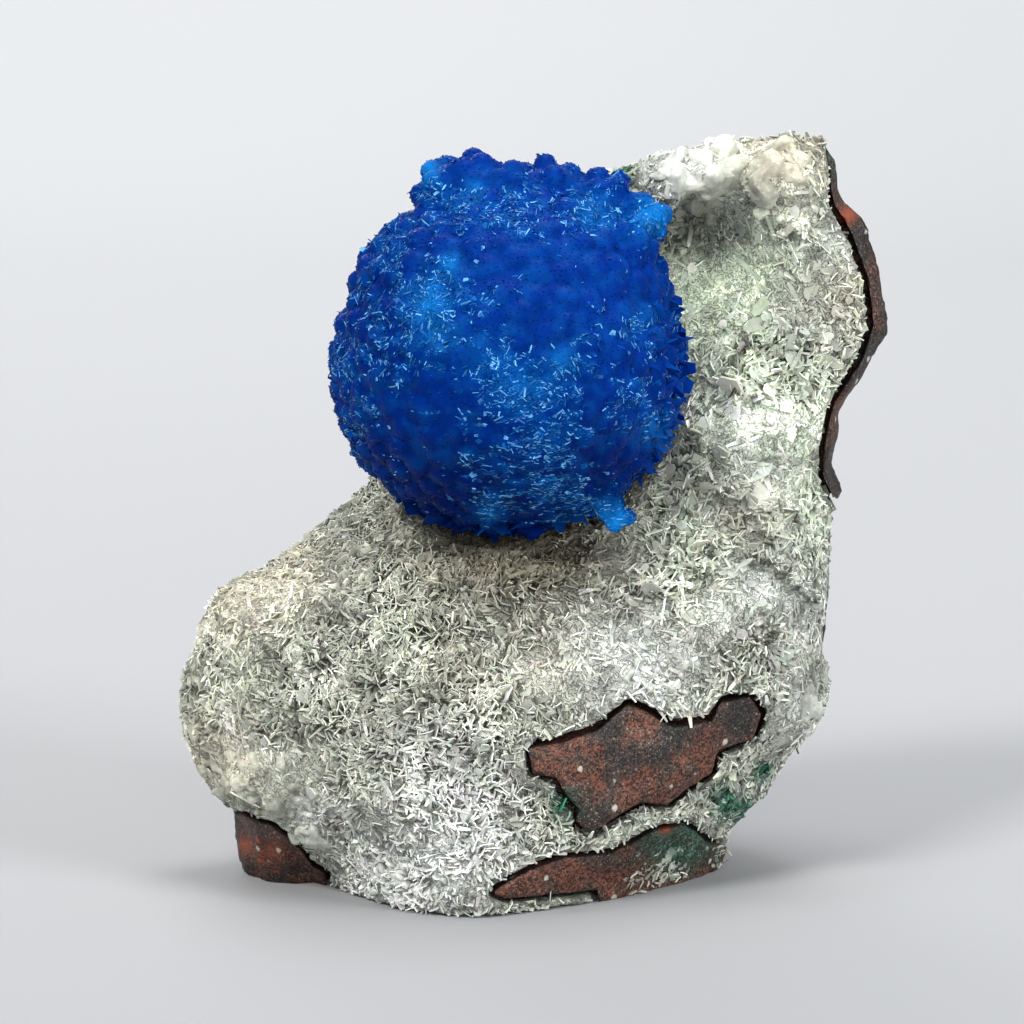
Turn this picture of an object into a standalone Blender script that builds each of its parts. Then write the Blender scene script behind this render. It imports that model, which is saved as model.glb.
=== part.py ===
"""Cavansite ball on a crust of stilbite blades, on a piece of basalt breccia.

The specimen stands upright on its flat underside. X is to the right, +Z is up, and the
crystals face -Y. The lists of places below are in millimetres; everything is built in metres.
"""
import math
import random

import bmesh
import bpy
import numpy as np
from mathutils import Matrix, Vector, noise
from mathutils.bvhtree import BVHTree
from mathutils.geometry import delaunay_2d_cdt

MM = 0.001
GAP = 0.3                    # clearance between two pieces that touch
BED_GAP = 0.375              # the same between crust and basalt, wider for the bed's tight corners
IN_FRONT, BEHIND = -25.0, 25.0   # depths beyond the specimen, for cutters
SEED = 11

# Outline of the whole specimen seen from the front (x, z), clockwise from beneath the ball.
# It runs on below the base plane, where the stone is cut flat.
OUTLINE = [
    (-9.6, 21.5), (-12.0, 19.5), (-13.8, 18.2), (-15.1, 17.3), (-16.7, 16.7), (-17.8, 16.0),
    (-18.4, 15.1), (-19.0, 13.0), (-19.7, 11.4), (-19.9, 9.9), (-19.7, 7.5), (-19.1, 6.2),
    (-18.1, 4.3), (-16.9, 3.3), (-16.8, 0.8), (-16.0, -1.4), (-12.0, -5.0), (6.0, -5.0),
    (10.4, -1.6), (11.1, 2.1), (13.1, 4.0), (14.4, 6.3), (15.9, 7.8), (16.7, 9.7), (16.7, 11.4),
    (16.3, 12.3), (16.7, 15.9), (16.7, 20.2), (17.3, 21.4), (16.7, 22.9), (17.1, 24.6),
    (17.1, 25.7), (18.2, 27.4), (18.9, 28.9), (19.8, 30.2), (19.9, 31.2), (19.3, 33.8),
    (18.6, 36.2), (17.4, 37.8), (17.1, 39.9), (16.2, 41.3), (14.4, 41.7), (12.9, 41.2),
    (10.2, 41.3), (8.6, 41.5), (7.6, 41.0), (5.7, 39.8), (3.7, 39.3), (1.4, 35.6), (-1.6, 30.4),
    (-5.4, 25.4),
]

# How far forward the crust stands: (x, z, y) by rows from the base to the top.
FRONT_RELIEF = [
    (-17, -3, 1.4), (-14.6, -2, -1.4), (-11.6, -3, -0.4), (-8, -3, -7.2), (-4, -3, -10.6),
    (0, -3, -9.0), (4, -3, -6.0), (8, -3, -2.0), (11, -3, 0.6),
    (-18, 1, 1.4), (-15, 1.8, -3.9), (-12, 1, -2.8), (-9, 1, -7.8), (-6, 1, -10.2),
    (-3, 1, -11.1), (0, 1, -9.6), (3, 1, -7.6), (6, 1, -5.2), (9, 1, -1.8), (11, 1, 0.6),
    (-18, 5, -1.6), (-14, 5, -5.6), (-10, 5, -9.2), (-6, 5, -11.3), (-2, 5, -11.4),
    (2, 5, -10.0), (6, 5, -8.0), (10, 5, -4.4), (12.5, 5, -1.0),
    (-19, 10, -2.4), (-15, 10, -6.6), (-10, 10, -9.6), (-5, 10, -10.9), (0, 10, -10.4),
    (5, 10, -8.9), (10, 10, -6.4), (14, 10, -3.6), (16, 10, -1.2),
    (-17.5, 15, -2.8), (-13, 15, -5.4), (-8, 15, -7.8), (-3, 15, -8.6), (2, 15, -8.4),
    (7, 15, -7.4), (12, 15, -5.4), (15.5, 15, -2.2),
    (-14, 18.3, -0.8), (-10, 18.5, -3.4), (-6, 18.5, -5.6), (-1.5, 18.5, -6.2),
    (3, 18.5, -6.0), (8, 18.5, -5.2), (12, 18.5, -4.4), (15.5, 18.5, -1.6),
    (-10.5, 20.6, 1.4), (-7, 20.6, -1.6), (-2, 20.4, -2.6), (3, 20.4, -2.8),
    (7, 20.5, -3.2), (11, 20.5, -4.0), (15.5, 20.5, -1.4),
    (-8, 22, 3.4), (-3, 22, 4.0), (2, 22, 3.0), (6, 22, -1.0), (10, 22, -3.0), (14, 22, -2.0),
    (-5, 25, 5.6), (0, 25, 5.4), (4, 25, 2.6), (8, 25, -1.2), (12, 25, -1.9), (15.5, 25, -0.4),
    (0, 28, 6.0), (4, 28, 3.8), (8, 28, 0.9), (12, 28, -0.3), (16, 28, -0.1),
    (2, 32, 6.0), (6, 32, 3.8), (9, 32, 3.3), (12, 32, 2.9), (15, 32, 0.8), (17.6, 32, 0.9),
    (3, 36, 5.2), (7.4, 36.3, 5.2), (9.4, 36.3, 4.8), (12, 36, 2.2), (15, 36, 0.2),
    (17.5, 36, 1.6), (6, 38.6, 0.9), (8.4, 38.7, -0.4), (10.6, 38.3, 2.4), (12.6, 38.8, 0.2),
    (15, 39, 0.1), (8, 41, 1.0), (12, 41, 0.6), (15, 41, 1.2),
]

# How far back the broken side of the basalt stands: (x, z, y).
BACK_RELIEF = [
    (-15, -3, 4.4), (-10, -3, 8.6), (-4, -3, 10.6), (2, -3, 11.4), (8, -3, 10.2), (12, -3, 6.0),
    (-18, 7, 4.0), (-14, 8, 7.6), (-8, 8, 10.8), (0, 8, 12.4), (7, 8, 12.8), (12.5, 8, 9.6),
    (-16, 14, 5.6), (-11, 14, 9.4), (-5, 14, 11.2), (3, 14, 12.8), (10, 14, 12.0),
    (15, 14, 7.6), (-10, 20, 7.0), (-5, 20, 10.4), (2, 20, 12.7), (9, 20, 12.9), (14, 20, 9.2),
    (-4, 26, 9.6), (1, 26, 12.0), (8, 26, 12.8), (14, 26, 10.2), (2, 32, 10.6), (7, 32, 12.2),
    (13, 32, 11.2), (18, 32, 6.8), (5, 38, 8.0), (10, 38, 9.8), (15, 38, 8.2), (10, 41, 6.2),
    (14, 41, 6.0),
]

# Flat breaks on the back, sides and top: a point (x, y, z) and the way the break faces.
BREAKS = [
    ((1.0, 11.6, 8.0), (-0.12, 1.0, 0.10)), ((-9.0, 8.4, 9.0), (-0.62, 1.0, 0.12)),
    ((10.5, 9.6, 9.0), (0.66, 1.0, -0.16)), ((4.5, 11.6, 25.0), (0.06, 1.0, 0.30)),
    ((-3.5, 10.4, 19.0), (-0.50, 1.0, 0.26)), ((13.5, 9.6, 27.0), (0.70, 1.0, 0.04)),
    ((9.5, 8.4, 38.0), (0.06, 0.75, 1.0)), ((-14.5, 4.8, 4.0), (-0.86, 1.0, -0.40)),
    ((3.0, 10.8, 2.2), (0.04, 1.0, -0.62)), ((17.6, 5.6, 34.0), (1.0, 0.86, 0.30)),
    ((-12.0, 7.2, 16.0), (-0.90, 1.0, 0.20)), ((2.0, 9.6, 34.0), (-0.66, 1.0, 0.30)),
]
PIT_COUNT = 12
PIT_SIZES = (0.9, 2.0)

# Where front and back meet along the outline: (x, z, y).
RIM_RELIEF = [
    (-20, 10, 0.4), (-17, 3, 1.2), (-12, 20, 3.0), (-9.6, 21.5, 4.4), (-2, 30, 8.0),
    (4, 39.5, 4.6), (10, 41.3, 3.2), (16, 41, 3.4), (19.9, 31, 3.2), (17, 25, 2.6),
    (16.7, 15, 2.2), (15, 7, 2.0), (10, 0, 2.0), (-12, -3, 1.4),
]

# Places without crust, seen from the front, where the basalt shows.
BROWN_PATCH = [
    (-0.5, 9.7), (1.4, 9.9), (3.3, 10.4), (5.1, 11.7), (6.2, 11.2), (7.7, 10.3), (9.6, 10.4),
    (10.3, 11.4), (12.3, 11.4), (12.9, 9.9), (12.4, 8.3), (10.4, 7.9), (10.1, 6.7), (8.5, 5.9),
    (7.5, 5.1), (6.0, 5.4), (4.4, 4.7), (3.2, 4.0), (2.0, 4.5), (2.1, 5.6), (1.4, 6.5),
    (0.9, 7.3), (-0.4, 7.8),
]
FOOT_PATCH = [
    (-2.8, 1.3), (-1.6, 2.2), (0.0, 2.9), (1.6, 3.3), (3.9, 3.1), (5.2, 3.6), (6.6, 4.2),
    (8.3, 4.2), (9.2, 3.2), (9.9, 2.2), (11.6, 0.9), (12.4, -7.0), (3.4, -7.0), (3.2, 0.4),
    (0.4, 0.6), (-1.6, 0.7),
]
LUMP_PATCH = [
    (-19.5, 3.1), (-17.4, 3.5), (-16.2, 4.1), (-14.4, 3.9), (-13.3, 3.3), (-12.6, 2.4),
    (-12.1, 1.4), (-11.3, 1.0), (-11.0, -7.0), (-19.5, -7.0),
]

# Outline of the crust seen from the front; it passes the specimen's outline where it wraps it.
CRUST_OUTLINE = [
    (-22, -7), (-22, 18), (-12, 24), (-7, 28), (2.4, 39.6), (6.9, 40.3), (9.3, 40.6),
    (10.2, 44), (15.6, 44), (16.4, 39.4), (16.3, 37.6), (17.4, 35.6), (18.2, 33.4),
    (18.5, 31.0), (17.9, 29.2), (16.4, 26.6), (15.9, 24.6), (15.8, 22.4), (16.6, 20.8),
    (17.8, 19.4), (18.6, 8), (15.0, 2.6), (12, -7),
]
BED_DEPTH = 1.5              # thickness of the crust seen from the front
BED_DROP = 1.5               # thickness of the crust where it lies on a ledge

# Cavansite: centre and half sizes of the ball, of its shoulders and of what grew on it.
BALL = ((-1.5, -3.0, 29.1), (9.8, 9.4, 9.1))
TIERS = [((-1.3, -2.6, 32.9), (9.0, 7.9, 6.1)), ((-1.0, -1.2, 36.9), (5.7, 4.6, 3.9))]
KNOBS = [
    ((-5.2, -2.2, 38.8), 1.7), ((-3.2, -1.8, 39.5), 1.9), ((-1.2, -3.2, 38.9), 1.6),
    ((0.8, -1.8, 39.3), 1.7), ((3.3, -2.0, 38.5), 1.6), ((6.3, -2.6, 37.5), 1.5),
    ((5.2, -4.6, 36.2), 1.6), ((4.2, -7.6, 20.9), 1.2), ((-9.6, -2.6, 22.9), 1.0),
]
TIP_HEIGHT = 0.62            # how far the crystal tips stand out of the ball
TIP_PITCH = 2.8              # distance between neighbouring tips
KNOB_TIPS = 0.4              # the same two for the small knobs
KNOB_PITCH = 1.9
FEWEST_TIPS = 16             # on the smallest knob
SOCKET_ROOM = 0.78           # how much wider than the ball its place is, before the gap
KNOB_ROOM = 0.45

# Crystals that stand out of the crust: middle of a fan (x, z), how many plates, their length.
FANS = [
    ((9.0, 23.6), 5, 3.0), ((11.4, 21.4), 5, 3.2), ((13.2, 24.6), 4, 2.6), ((13.6, 17.6), 4, 3.2),
    ((12.2, 14.4), 4, 2.8), ((9.4, 18.6), 4, 2.4), ((14.4, 20.6), 4, 2.4), ((11.6, 27.4), 4, 2.4),
    ((14.6, 30.2), 4, 2.2), ((12.8, 34.0), 3, 2.0), ((15.6, 35.4), 3, 2.0), ((6.6, 17.0), 4, 2.2),
]
BLADE_COUNT = 14
BLADE_SIZE = (2.3, 0.8, 0.42)
LUMPS = [
    ((-16.2, 6.2), 1.5), ((-14.2, 5.4), 1.3), ((-18.4, 8.4), 1.3), ((-12.2, 3.3), 1.1),
    ((15.5, 9.4), 1.4), ((7.0, 39.2), 1.4), ((9.6, 39.8), 1.3), ((12.6, 39.4), 1.5),
]


def relief_function(points, softness=1.4):
    """A smooth surface through points (x, z, y); returns y for an array of (x, z)."""
    sites = np.array([(x, z) for x, z, _ in points], dtype=float)
    depths = np.array([y for _, _, y in points], dtype=float)
    middle = depths.mean()

    def kernel(a, b):
        apart = a[:, None, :] - b[None, :, :]
        return np.sqrt((apart ** 2).sum(axis=2) + softness ** 2)

    weights = np.linalg.solve(kernel(sites, sites), depths - middle)

    def depth(where):
        return middle + kernel(np.atleast_2d(where), sites) @ weights

    return depth


front_relief = relief_function(FRONT_RELIEF)
back_relief = relief_function(BACK_RELIEF)
rim_relief = relief_function(RIM_RELIEF)


def distance_to(outline, where):
    """Distance from each point (x, z) to the nearest edge of a closed outline."""
    start = np.array(outline, dtype=float)
    along = np.roll(start, -1, axis=0) - start
    offset = where[:, None, :] - start[None]
    t = (offset * along).sum(axis=2) / (along ** 2).sum(axis=1)
    near = offset - np.clip(t, 0, 1)[..., None] * along
    return np.sqrt((near ** 2).sum(axis=2)).min(axis=1)


def is_inside(outline, where):
    """True for each point (x, z) inside a closed outline."""
    inside = np.zeros(len(where), dtype=bool)
    last = outline[-1]
    for point in outline:
        (x0, z0), (x1, z1) = last, point
        crosses = (z0 > where[:, 1]) != (z1 > where[:, 1])
        if z0 != z1:
            at = x0 + (where[:, 1] - z0) * (x1 - x0) / (z1 - z0)
            inside ^= crosses & (where[:, 0] < at)
        last = point
    return inside


def roughness(where, scale, seed):
    """Fractal noise between about -1 and 1 for each point (x, z)."""
    return np.array([noise.fractal(Vector((x / scale, z / scale, seed)), 1.0, 2.0, 3)
                     for x, z in where])


def broken(where, scale, seed):
    """Flat broken facets: each cell has its own height and tilt."""
    heights = []
    for x, z in where:
        spot = Vector((x / scale, z / scale, seed))
        _, cells = noise.voronoi(spot)
        cell = cells[0]
        turn = noise.cell(cell * 7.3 + Vector((0.1, 0.2, 0.3)))
        away = spot - cell
        heights.append(turn - 0.5 + away.x * math.cos(9 * turn) + away.z * math.sin(9 * turn))
    return np.array(heights)


def bulge(where, target, reach):
    """Round an edge: from the rim at the outline to the target depth further in."""
    rim = rim_relief(where)
    inwards = distance_to(OUTLINE, where) * is_inside(OUTLINE, where)
    t = np.clip(inwards / reach, 0, 1)
    return rim + (target - rim) * np.sqrt(1 - (1 - t) ** 2)


def front_surface(where):
    where = np.atleast_2d(np.array(where, dtype=float))
    return bulge(where, front_relief(where) + 0.35 * roughness(where, 3.2, 2.0), 3.0)


def back_surface(where):
    where = np.atleast_2d(np.array(where, dtype=float))
    rough = 0.7 * broken(where, 6.0, 5.0) + 0.5 * roughness(where, 3.0, 8.0)
    return bulge(where, back_relief(where) + rough, 4.5)


def bed_surface(where):
    """The basalt surface that the crust grew on."""
    where = np.atleast_2d(np.array(where, dtype=float))
    higher = where + np.array((0.0, BED_DROP))
    uneven = 0.3 * roughness(where, 4.0, 13.0)
    return np.maximum(front_surface(where), front_surface(higher)) + BED_DEPTH + uneven


def walk(outline, step):
    """Points every step or so along a closed outline."""
    points = []
    for start, end in zip(outline, outline[1:] + outline[:1]):
        length = math.dist(start, end)
        count = max(1, round(length / step))
        for i in range(count):
            t = i / count
            points.append((start[0] + t * (end[0] - start[0]), start[1] + t * (end[1] - start[1])))
    return points


def offset_outline(outline, distance):
    """Move a closed outline outwards by a distance, or inwards if it is negative."""
    moved = []
    area = sum(a[0] * b[1] - b[0] * a[1] for a, b in zip(outline, outline[1:] + outline[:1]))
    side = 1 if area > 0 else -1
    for before, here, after in zip(outline[-1:] + outline[:-1], outline, outline[1:] + outline[:1]):
        first = Vector((here[1] - before[1], before[0] - here[0])).normalized()
        second = Vector((after[1] - here[1], here[0] - after[0])).normalized()
        normal = (first + second).normalized()
        reach = distance * side / max(0.5, normal.dot(first))
        moved.append((here[0] + normal.x * reach, here[1] + normal.y * reach))
    return moved


def scattered(outline, step, margin, seed):
    """Jittered points inside an outline, no nearer to it than a margin."""
    rng = random.Random(seed)
    xs = [p[0] for p in outline]
    zs = [p[1] for p in outline]
    points = []
    rows = int((max(zs) - min(zs)) / (step * 0.87)) + 1
    for row in range(rows):
        z = min(zs) + row * step * 0.87
        x = min(xs) + (row % 2) * step / 2
        while x < max(xs):
            points.append((x + rng.uniform(-0.3, 0.3) * step, z + rng.uniform(-0.3, 0.3) * step))
            x += step
    points = np.array(points)
    keep = is_inside(outline, points) & (distance_to(outline, points) > margin)
    return [tuple(p) for p in points[keep]]


def rings(outline, depths, step):
    """Points on lines inside an outline, where a rounded edge needs them."""
    points = []
    for depth in depths:
        ring = np.array(walk(offset_outline(outline, -depth), step))
        keep = is_inside(outline, ring) & (distance_to(outline, ring) > depth * 0.8)
        points += [tuple(p) for p in ring[keep]]
    return points


def triangulate(outline, inner, holes=()):
    """Triangles over an outline with inner points and holes; returns points and triangles."""
    loops = [outline, *holes]
    points = []
    edges = []
    for loop in loops:
        first = len(points)
        points += loop
        count = len(loop)
        edges += [(first + i, first + (i + 1) % count) for i in range(count)]
    points += inner
    placed, _, faces, _, _, _ = delaunay_2d_cdt([Vector(p) for p in points], edges, [], 0, 1e-6)
    placed = np.array([tuple(p) for p in placed])
    middles = np.array([placed[list(face)].mean(axis=0) for face in faces])
    keep = is_inside(outline, middles)
    for hole in holes:
        keep &= ~is_inside(hole, middles)
    return placed, [tuple(face) for face, kept in zip(faces, keep) if kept]


def rim_edges(faces):
    """Edges that only one triangle uses, in that triangle's direction."""
    used = {}
    for face in faces:
        for a, b in zip(face, face[1:] + face[:1]):
            used[(a, b)] = True
    return [edge for edge in used if (edge[1], edge[0]) not in used]


def new_object(name, bm):
    """Put a finished bmesh into an object, with its faces pointing out."""
    bmesh.ops.recalc_face_normals(bm, faces=bm.faces)
    mesh = bpy.data.meshes.new(name)
    bm.to_mesh(mesh)
    bm.free()
    obj = bpy.data.objects.new(name, mesh)
    bpy.context.collection.objects.link(obj)
    return obj


def cut_flat(bm, point, facing):
    """Cut away everything beyond a plane and close the cut with flat faces."""
    cut = bmesh.ops.bisect_plane(bm, geom=bm.verts[:] + bm.edges[:] + bm.faces[:], dist=1e-7,
                                 plane_co=point, plane_no=facing, clear_outer=True)
    loop = [item for item in cut["geom_cut"] if isinstance(item, bmesh.types.BMEdge)]
    bmesh.ops.holes_fill(bm, edges=loop, sides=0)
    bmesh.ops.triangulate(bm, faces=[f for f in bm.faces if len(f.verts) > 3])


def pillow(name):
    """The whole specimen without its blue ball: a front and a back that meet at the outline."""
    outline = walk(OUTLINE, 1.9)
    front_inner = rings(outline, (0.5, 1.5), 1.9) + scattered(outline, 2.2, 2.4, SEED)
    back_inner = rings(outline, (0.9,), 2.6) + scattered(outline, 2.7, 2.8, SEED + 1)
    bm = bmesh.new()
    rim = {}

    def sheet(inner, surface, flip):
        placed, faces = triangulate(outline, inner)
        depth = surface(placed)
        at_rim = distance_to(outline, placed) < 1e-4
        verts = []
        for (x, z), y, shared in zip(placed, depth, at_rim):
            key = (round(x, 3), round(z, 3))
            if shared and key in rim:
                verts.append(rim[key])
                continue
            vert = bm.verts.new((x * MM, y * MM, z * MM))
            verts.append(vert)
            if shared:
                rim[key] = vert
        for face in faces:
            corners = [verts[i] for i in (face[::-1] if flip else face)]
            if not at_rim[list(face)].all():
                bm.faces.new(corners)
                continue
            x, z = placed[list(face)].mean(axis=0)
            middle = bm.verts.new((x * MM, surface([(x, z)])[0] * MM, z * MM))
            for i in range(3):
                bm.faces.new((corners[i], corners[(i + 1) % 3], middle))

    sheet(front_inner, front_surface, False)
    sheet(back_inner, back_surface, True)
    for point, facing in BREAKS:
        cut_flat(bm, Vector(point) * MM, facing)
    cut_flat(bm, (0, 0, 0), (0, 0, -1))
    return new_object(name, bm)


def crust_block(name, grow=0.0):
    """Everything in front of the bed, inside the crust's outline; grown by a gap as a cutter."""
    outline = walk(CRUST_OUTLINE, 3.0)
    hole = walk(BROWN_PATCH, 2.4)
    spots = np.array(scattered(outline, 2.9, 0.9, SEED + 2))
    spots = spots[~is_inside(hole, spots) & (distance_to(hole, spots) > 0.7)]
    placed, faces = triangulate(outline, [tuple(p) for p in spots], [hole])
    bm = bmesh.new()
    back = [bm.verts.new((x * MM, y * MM, z * MM))
            for (x, z), y in zip(placed, bed_surface(placed))]
    front = [bm.verts.new((x * MM, IN_FRONT * MM, z * MM)) for x, z in placed]
    for face in faces:
        bm.faces.new([back[i] for i in face])
        bm.faces.new([front[i] for i in face[::-1]])
    for a, b in rim_edges(faces):
        bm.faces.new((back[b], back[a], front[a], front[b]))
    bmesh.ops.triangulate(bm, faces=[f for f in bm.faces if len(f.verts) > 3])
    bmesh.ops.recalc_face_normals(bm, faces=bm.faces)
    bm.normal_update()
    for vert in bm.verts:
        vert.co += vert.normal * vert.calc_shell_factor() * grow * MM
    return new_object(name, bm)


def prism(name, outline):
    """An outline seen from the front, drawn out in depth."""
    bm = bmesh.new()
    front = [bm.verts.new((x * MM, IN_FRONT * MM, z * MM)) for x, z in outline]
    face = bm.faces.new(front)
    drawn = bmesh.ops.extrude_face_region(bm, geom=[face])
    moved = [v for v in drawn["geom"] if isinstance(v, bmesh.types.BMVert)]
    bmesh.ops.translate(bm, verts=moved, vec=(0, (BEHIND - IN_FRONT) * MM, 0))
    return new_object(name, bm)


def boolean(target, tool, operation, solver="EXACT"):
    """Apply one Boolean and remove the tool."""
    modifier = target.modifiers.new(operation.lower(), "BOOLEAN")
    modifier.operation = operation
    modifier.solver = solver
    modifier.object = tool
    graph = bpy.context.evaluated_depsgraph_get()
    result = bpy.data.meshes.new_from_object(target.evaluated_get(graph))
    target.modifiers.clear()
    target.data = result
    bpy.data.objects.remove(tool)


def keep_largest_island(obj):
    """Delete loose chips that a cut left behind."""
    bm = bmesh.new()
    bm.from_mesh(obj.data)
    left = set(bm.verts)
    islands = []
    while left:
        island = [left.pop()]
        for vert in island:
            for edge in vert.link_edges:
                other = edge.other_vert(vert)
                if other in left:
                    left.remove(other)
                    island.append(other)
        islands.append(island)
    islands.sort(key=len)
    for island in islands[:-1]:
        bmesh.ops.delete(bm, geom=island, context="VERTS")
    bm.to_mesh(obj.data)
    bm.free()


def plate(bm, place, length, width, thick, pointed=True):
    """A tabular crystal with a slanted or pointed end, along its own Z from its root."""
    half = width / 2
    outline = [(-half, 0), (half, 0), (half, 0.72 * length), (-half, length)]
    if pointed:
        outline[-1:] = [(-0.2 * half, length), (-half, 0.66 * length)]
    front = [bm.verts.new(place @ Vector((x, -thick / 2, z)) * MM) for x, z in outline]
    back = [bm.verts.new(place @ Vector((x, thick / 2, z)) * MM) for x, z in outline]
    bm.faces.new(front)
    bm.faces.new(back[::-1])
    for i in range(len(outline)):
        j = (i + 1) % len(outline)
        bm.faces.new((front[j], front[i], back[i], back[j]))


def on_front(x, z):
    """A place on the front surface: its point and the direction that the surface faces."""
    step = 0.6
    y, beside, above = front_surface([(x, z), (x + step, z), (x, z + step)])
    normal = Vector((step, beside - y, 0)).cross(Vector((0, above - y, step)))
    normal.normalize()
    if normal.y > 0:
        normal.negate()
    return Vector((x, y, z)), normal


def leaning(direction, roll):
    """A rotation whose Z runs along a direction, turned about it by roll."""
    turn = direction.normalized().to_track_quat("Z", "Y").to_matrix()
    return (turn @ Matrix.Rotation(roll, 3, "Z")).to_4x4()


def add_crystal(crust, build):
    """Grow one crystal into the crust. EXACT leaves open edges where so many plates cross."""
    bm = bmesh.new()
    build(bm)
    boolean(crust, new_object("crystal", bm), "UNION", "MANIFOLD")


def is_bare(spot):
    """True where there is no crust, or where the blue ball covers it."""
    (bx, _, bz), (rx, _, rz) = BALL
    if ((spot[0, 0] - bx) / (rx + 0.8)) ** 2 + ((spot[0, 1] - bz) / (rz + 0.8)) ** 2 < 1:
        return True
    if not is_inside(CRUST_OUTLINE, spot)[0] or distance_to(CRUST_OUTLINE, spot)[0] < 1.3:
        return True
    return any(is_inside(hole, spot)[0] or distance_to(hole, spot)[0] < 1.2
               for hole in (BROWN_PATCH, FOOT_PATCH, LUMP_PATCH))


def add_fans(crust, rng):
    """Tabular plates that spread from one root."""
    for (x, z), count, length in FANS:
        point, normal = on_front(x, z)
        side = Matrix.Rotation(rng.uniform(0, math.tau), 3, normal) @ normal.orthogonal()
        side.normalize()
        root = Matrix.Translation(point - normal * 0.9)
        for i in range(count):
            lean = math.radians(-66 + 132 * i / (count - 1) + rng.uniform(-7, 7))
            direction = normal * math.cos(lean) + side * math.sin(lean)
            place = root @ leaning(direction, rng.uniform(-0.35, 0.35))
            size = length * rng.uniform(0.8, 1.1)
            add_crystal(crust, lambda bm: plate(bm, place, size, size * 0.5, 0.42))


def add_blades(crust, rng):
    """Single blades on the pad and between the fans."""
    length, width, thick = BLADE_SIZE
    open_ground = [p for p in scattered(OUTLINE, 3.1, 1.6, SEED + 4) if p[1] > 1.5]
    open_ground = [p for p in open_ground if not is_bare(np.array([p]))]
    rng.shuffle(open_ground)
    for x, z in open_ground[:BLADE_COUNT]:
        point, normal = on_front(x, z)
        side = Matrix.Rotation(rng.uniform(0, math.tau), 3, normal) @ normal.orthogonal()
        lean = math.radians(rng.uniform(20, 62))
        direction = normal * math.cos(lean) + side.normalized() * math.sin(lean)
        place = Matrix.Translation(point - direction * 1.0) @ leaning(direction, rng.uniform(0, 3))
        size = length * rng.uniform(0.9, 1.15)
        add_crystal(crust, lambda bm: plate(bm, place, size, width, thick, pointed=False))


def add_lumps(crust, rng):
    """Rounded knots of the crust."""
    def lump(bm, centre, radius):
        place = Matrix.Translation(centre * MM)
        made = bmesh.ops.create_icosphere(bm, subdivisions=2, radius=radius * MM, matrix=place)
        for vert in made["verts"]:
            away = vert.co - place.translation
            vert.co += away * rng.uniform(-0.12, 0.08)

    for (x, z), radius in LUMPS:
        point, normal = on_front(x, z)
        add_crystal(crust, lambda bm: lump(bm, point - normal * radius * 0.45, radius))


def crystal_ball(name, centre, radii, pitch, height, seed):
    """An ellipsoid whose surface is all chisel tips of tabular crystals."""
    rng = random.Random(seed)
    mean = sum(radii) / 3
    count = max(FEWEST_TIPS, int(4 * math.pi * mean ** 2 / (0.87 * pitch ** 2)))
    bm = bmesh.new()
    golden = math.pi * (3 - math.sqrt(5))
    for i in range(count):
        z = 1 - 2 * (i + 0.5) / count
        ring = math.sqrt(1 - z * z)
        turn = golden * i
        jitter = Vector([rng.uniform(-0.18, 0.18) * pitch / mean for _ in range(3)])
        spot = (Vector((ring * math.cos(turn), ring * math.sin(turn), z)) + jitter).normalized()
        bm.verts.new(spot)
    bmesh.ops.convex_hull(bm, input=bm.verts)
    bmesh.ops.join_triangles(bm, faces=bm.faces, angle_face_threshold=math.pi,
                             angle_shape_threshold=math.pi)
    size = Vector(radii)
    middle = Vector(centre)

    def grown(spot, by):
        return (middle + spot.normalized() * size * (1 + by / mean)) * MM

    tips = bmesh.new()
    base = {v: tips.verts.new(grown(v.co, rng.uniform(-0.12, 0.12))) for v in bm.verts}
    for face in bm.faces:
        corners = list(face.verts)
        rise = height * rng.uniform(0.65, 1.25)
        out = face.calc_center_median()
        if len(corners) == 3:
            apex = tips.verts.new(grown(out, rise))
            for i in range(3):
                tips.faces.new((base[corners[i]], base[corners[(i + 1) % 3]], apex))
            continue
        across = (corners[0].co + corners[1].co - corners[2].co - corners[3].co).z
        beside = (corners[1].co + corners[2].co - corners[3].co - corners[0].co).z
        if abs(across) < abs(beside):
            corners = corners[1:] + corners[:1]
        a, b, c, d = corners
        left = (a.co + d.co) / 2
        right = (b.co + c.co) / 2
        tilt = rng.uniform(-0.35, 0.35)
        lead = (a.co + b.co - c.co - d.co) * 0.25 * tilt
        first = tips.verts.new(grown(left.lerp(out, 0.42) + lead, rise))
        second = tips.verts.new(grown(right.lerp(out, 0.42) + lead, rise * rng.uniform(0.8, 1)))
        tips.faces.new((base[a], base[b], second, first))
        tips.faces.new((base[c], base[d], first, second))
        tips.faces.new((base[b], base[c], second))
        tips.faces.new((base[d], base[a], first))
    bm.free()
    bmesh.ops.triangulate(tips, faces=[f for f in tips.faces if len(f.verts) > 3])
    return new_object(name, tips)


def smooth_ball(name, centre, radii, subdivisions):
    bm = bmesh.new()
    place = Matrix.Translation(Vector(centre) * MM) @ Matrix.Diagonal((*radii, 1))
    bmesh.ops.create_icosphere(bm, subdivisions=subdivisions, radius=MM, matrix=place)
    return new_object(name, bm)


def ball_socket(name):
    """The room that the blue crystals take up, with a gap around them."""
    room = SOCKET_ROOM + GAP
    centre, radii = BALL
    socket = smooth_ball(name, centre, [r + room for r in radii], 3)
    for centre, radii in TIERS:
        boolean(socket, smooth_ball("tier_room", centre, [r + room for r in radii], 2), "UNION")
    for centre, radius in KNOBS:
        reach = radius + KNOB_ROOM + GAP
        boolean(socket, smooth_ball("knob_room", centre, [reach] * 3, 2), "UNION")
    return socket


def finish_material(obj, colour, rough):
    material = bpy.data.materials.new(obj.name)
    material.use_nodes = True
    shader = material.node_tree.nodes["Principled BSDF"]
    shader.inputs["Base Color"].default_value = (*colour, 1)
    shader.inputs["Roughness"].default_value = rough
    shader.inputs["Metallic"].default_value = 0.0
    obj.data.materials.clear()
    obj.data.materials.append(material)


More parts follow.
